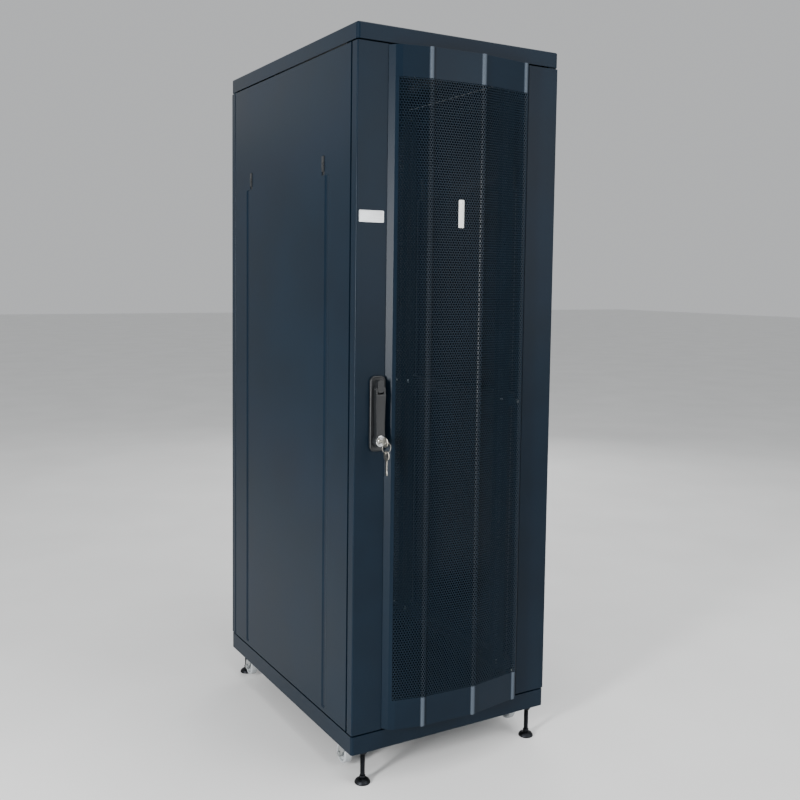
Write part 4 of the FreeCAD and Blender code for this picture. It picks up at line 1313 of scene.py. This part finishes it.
def rimmed_plate():
    low, high = box_of("label_plate")
    piece = block("blank_plate", low, high)
    open_edit(piece)
    pick(piece, "EDGE", lambda place, run: abs(run.y) > 0.5 * MM)
    bpy.ops.mesh.bevel(offset=2.5 * MM, segments=5, profile=0.5, affect="EDGES")
    pick(piece, "FACE", lambda place, normal: normal.y < -0.9)
    inset(1.6 * MM)
    inset(0.4 * MM)
    shift((0, 0.45 * MM, 0))
    close_edit()
    round_edges(piece, 0.15 * MM, 2, 40)
    return smooth(piece, 30)


def tag_strip():
    low, high = box_of("tag_strip")
    tilt = math.atan2(FOLDS[3][1] - FOLDS[2][1], FOLDS[3][0] - FOLDS[2][0])
    middle_x = (low.x + high.x) / 2
    skin_y = face_y + (FOLDS[2][1] + (middle_x / MM - FOLDS[2][0]) * math.tan(tilt)) * MM
    half_x, half_z = (high.x - low.x) / 2 / math.cos(tilt), (high.z - low.z) / 2
    strip = block("tag", Vector((-half_x, -1.0 * MM, -half_z)),
                  Vector((half_x, -0.05 * MM, half_z)))
    open_edit(strip)
    pick(strip, "EDGE", lambda place, run: abs(run.y) > 0.5 * MM)
    bpy.ops.mesh.bevel(offset=2.0 * MM, segments=5, profile=0.5, affect="EDGES")
    close_edit()
    round_edges(strip, 0.2 * MM, 2, 40)
    rivet = stepped_disc("rivet", 3 * MM, (0.5 * MM, [(0.7 * MM, 0.5 * MM), (1.0 * MM, 0.25 * MM)]),
                         Vector((0, 0, 0)), 24)
    rivet.rotation_euler.x = math.pi / 2
    rivet.location = (0, -1.0 * MM, half_z - 7 * MM)
    settle(rivet)
    piece = join("white_tag", [strip, rivet])
    piece.rotation_euler.z = tilt
    piece.location = (middle_x, skin_y, (low.z + high.z) / 2)
    return smooth(settle(piece), 30)


finish_piece(rimmed_plate(), "front_door", "satin_aluminium", aluminium, "label_plate")
finish_piece(tag_strip(), "front_door", "white_plastic", tag_plastic, "tag_strip")

# %% [markdown]
# ## Side latches
# Each latch is a moulded slide behind the sheet with a thumb pad in the panel's window. The
# pad is pushed down with two ridges, which are faces of the pad pulled out one by one.

# %% Latch


def side_latch(end):
    low, high = box_of("side_latch_%s_left" % end)
    middle_y = (low.y + high.y) / 2
    outer = panel_low.x
    pad_low, pad_high = latch_z - 15 * MM, latch_z + 23 * MM
    pad = block("latch_pad", Vector((outer - 1.5 * MM, middle_y - 6.4 * MM, pad_low)),
                Vector((outer + 2.2 * MM, middle_y + 6.4 * MM, pad_high)))
    open_edit(pad)
    ridges = (latch_z - 3 * MM, latch_z, latch_z + 5 * MM, latch_z + 8 * MM)
    for height in ridges:
        score((0, 0, height), (0, 0, 1))
    pick(pad, "FACE", lambda place, normal: normal.x < -0.9
         and (ridges[0] < place.z < ridges[1] or ridges[2] < place.z < ridges[3]))
    pull_out((-1.5 * MM, 0, 0))
    bpy.ops.transform.resize(value=(1, 0.94, 0.96),
                             center_override=(outer, middle_y, latch_z + 2.5 * MM))
    close_edit()
    slide = block("latch_slide", Vector((outer + 1.5 * MM, middle_y - 11 * MM, latch_z - 26 * MM)),
                  Vector((outer + 5.2 * MM, middle_y + 11 * MM, latch_z + 36 * MM)))
    tongue = block("latch_tongue", Vector((outer + 5.0 * MM, middle_y - 7 * MM, latch_z + 24 * MM)),
                   Vector((outer + 9.2 * MM, middle_y + 7 * MM, latch_z + 44 * MM)))
    open_edit(tongue)
    pick(tongue, "EDGE",
         lambda place, run: place.z > latch_z + 43 * MM and place.x > outer + 9 * MM)
    bpy.ops.mesh.bevel(offset=2.6 * MM, segments=3, affect="EDGES")
    close_edit()
    combine(pad, slide, "UNION")
    combine(pad, tongue, "UNION")
    round_edges(pad, 0.5 * MM, 2, 35)
    return smooth(pad, 32)


for end in ("front", "rear"):
    left = side_latch(end)
    left.name = "latch_%s_left" % end
    right = mirror_piece(left, "latch_%s_right" % end)
    for side, piece in (("left", left), ("right", right)):
        node = "side_latch_%s_%s" % (end, side)
        finish_piece(piece, node, "black_plastic", handle_nylon, node)

# %% [markdown]
# ## Floor, light and camera
# A plain pale floor and five soft lights. An upright strip at the left is placed so that the
# door's steep first facet mirrors it, which draws the long highlight beside the stile. A wide
# light overhead keeps the floor pale, one from the front right lifts the flat facets, and two
# weak ones from behind serve the side and the back. A pale sky fills the shadows. The camera
# stands where a person who looks at the cabinet from its left front corner would.

# %% Floor
floor = new_piece("studio_floor", bpy.ops.mesh.primitive_plane_add, size=60)
paint, paint_tree, paint_shader, paint_place = new_finish("pale_studio_floor", Roughness=0.7)
mottle = add_node(paint_tree, "ShaderNodeTexNoise", inputs={"Scale": 2.0},
                  links={"Vector": paint_place})
tone = ramp(add_node(paint_tree, "ShaderNodeValToRGB", links={"Fac": mottle.outputs["Fac"]}),
            [(0.3, linear("#E4E4E3")), (0.7, linear("#EAEAE9"))])
paint_tree.links.new(tone.outputs["Color"], paint_shader.inputs["Base Color"])
floor.data.materials.append(paint)

# %% Light
AIM = Vector((0, 0, 0.95))               # half way up the cabinet
LIGHTS = [                               # name, place, width and height, watts
    ("key_left", (-3.2, -1.6, 1.25), (0.5, 1.2), 190),
    ("overhead", (0.6, -1.6, 4.6), (4.0, 4.0), 150),
    ("front_fill", (2.2, -4.2, 1.9), (2.6, 2.6), 80),
    ("side_left", (-1.7, 3.2, 2.7), (2.2, 1.2), 5),
    ("rear_fill", (2.6, 3.4, 2.4), (2.0, 2.4), 50),
]
for name, place, size, watts in LIGHTS:
    deselect()
    bpy.ops.object.light_add(type="AREA", location=place)
    lamp = bpy.context.active_object
    lamp.name = name
    lamp.data.shape = "RECTANGLE"
    lamp.data.size, lamp.data.size_y = size
    lamp.data.energy = watts
    lamp.rotation_euler = (AIM - Vector(place)).to_track_quat("-Z", "Y").to_euler()
world = bpy.data.worlds.new("studio_world")
bpy.context.scene.world = world
world.use_nodes = True
sky = world.node_tree.nodes["Background"].inputs
sky["Color"].default_value = linear("#F4F6F8")
sky["Strength"].default_value = 0.62
print(len(LIGHTS), "lights")

# %% Camera
LENS_MM, SENSOR_MM = 42.7, 36.0
CAMERA_X, BACK_FROM_DOOR, FEET, ABOVE_BASE = -1.3714, 1.9755, 0.085, 1.1679
yaw, pitch, roll = math.radians(29.80), math.radians(4.30), math.radians(0.62)
deselect()
bpy.ops.object.camera_add(location=(CAMERA_X, face_y - BACK_FROM_DOOR,
                                    cad_box[0][2] + FEET + ABOVE_BASE))
camera = bpy.context.active_object
camera.name = "studio_camera"
camera.data.lens, camera.data.sensor_width = LENS_MM, SENSOR_MM
camera.data.shift_x, camera.data.shift_y = 0.029, -0.0616
camera.rotation_mode = "XYZ"
turn = (Matrix.Rotation(-yaw, 3, "Z") @ Matrix.Rotation(math.pi / 2 - pitch, 3, "X")
        @ Matrix.Rotation(roll, 3, "Z"))
camera.rotation_euler = turn.to_euler("XYZ")
camera.data.dof.use_dof = False
bpy.context.scene.camera = camera
print("camera at", [round(value, 3) for value in camera.location])

# %% The end
deselect()
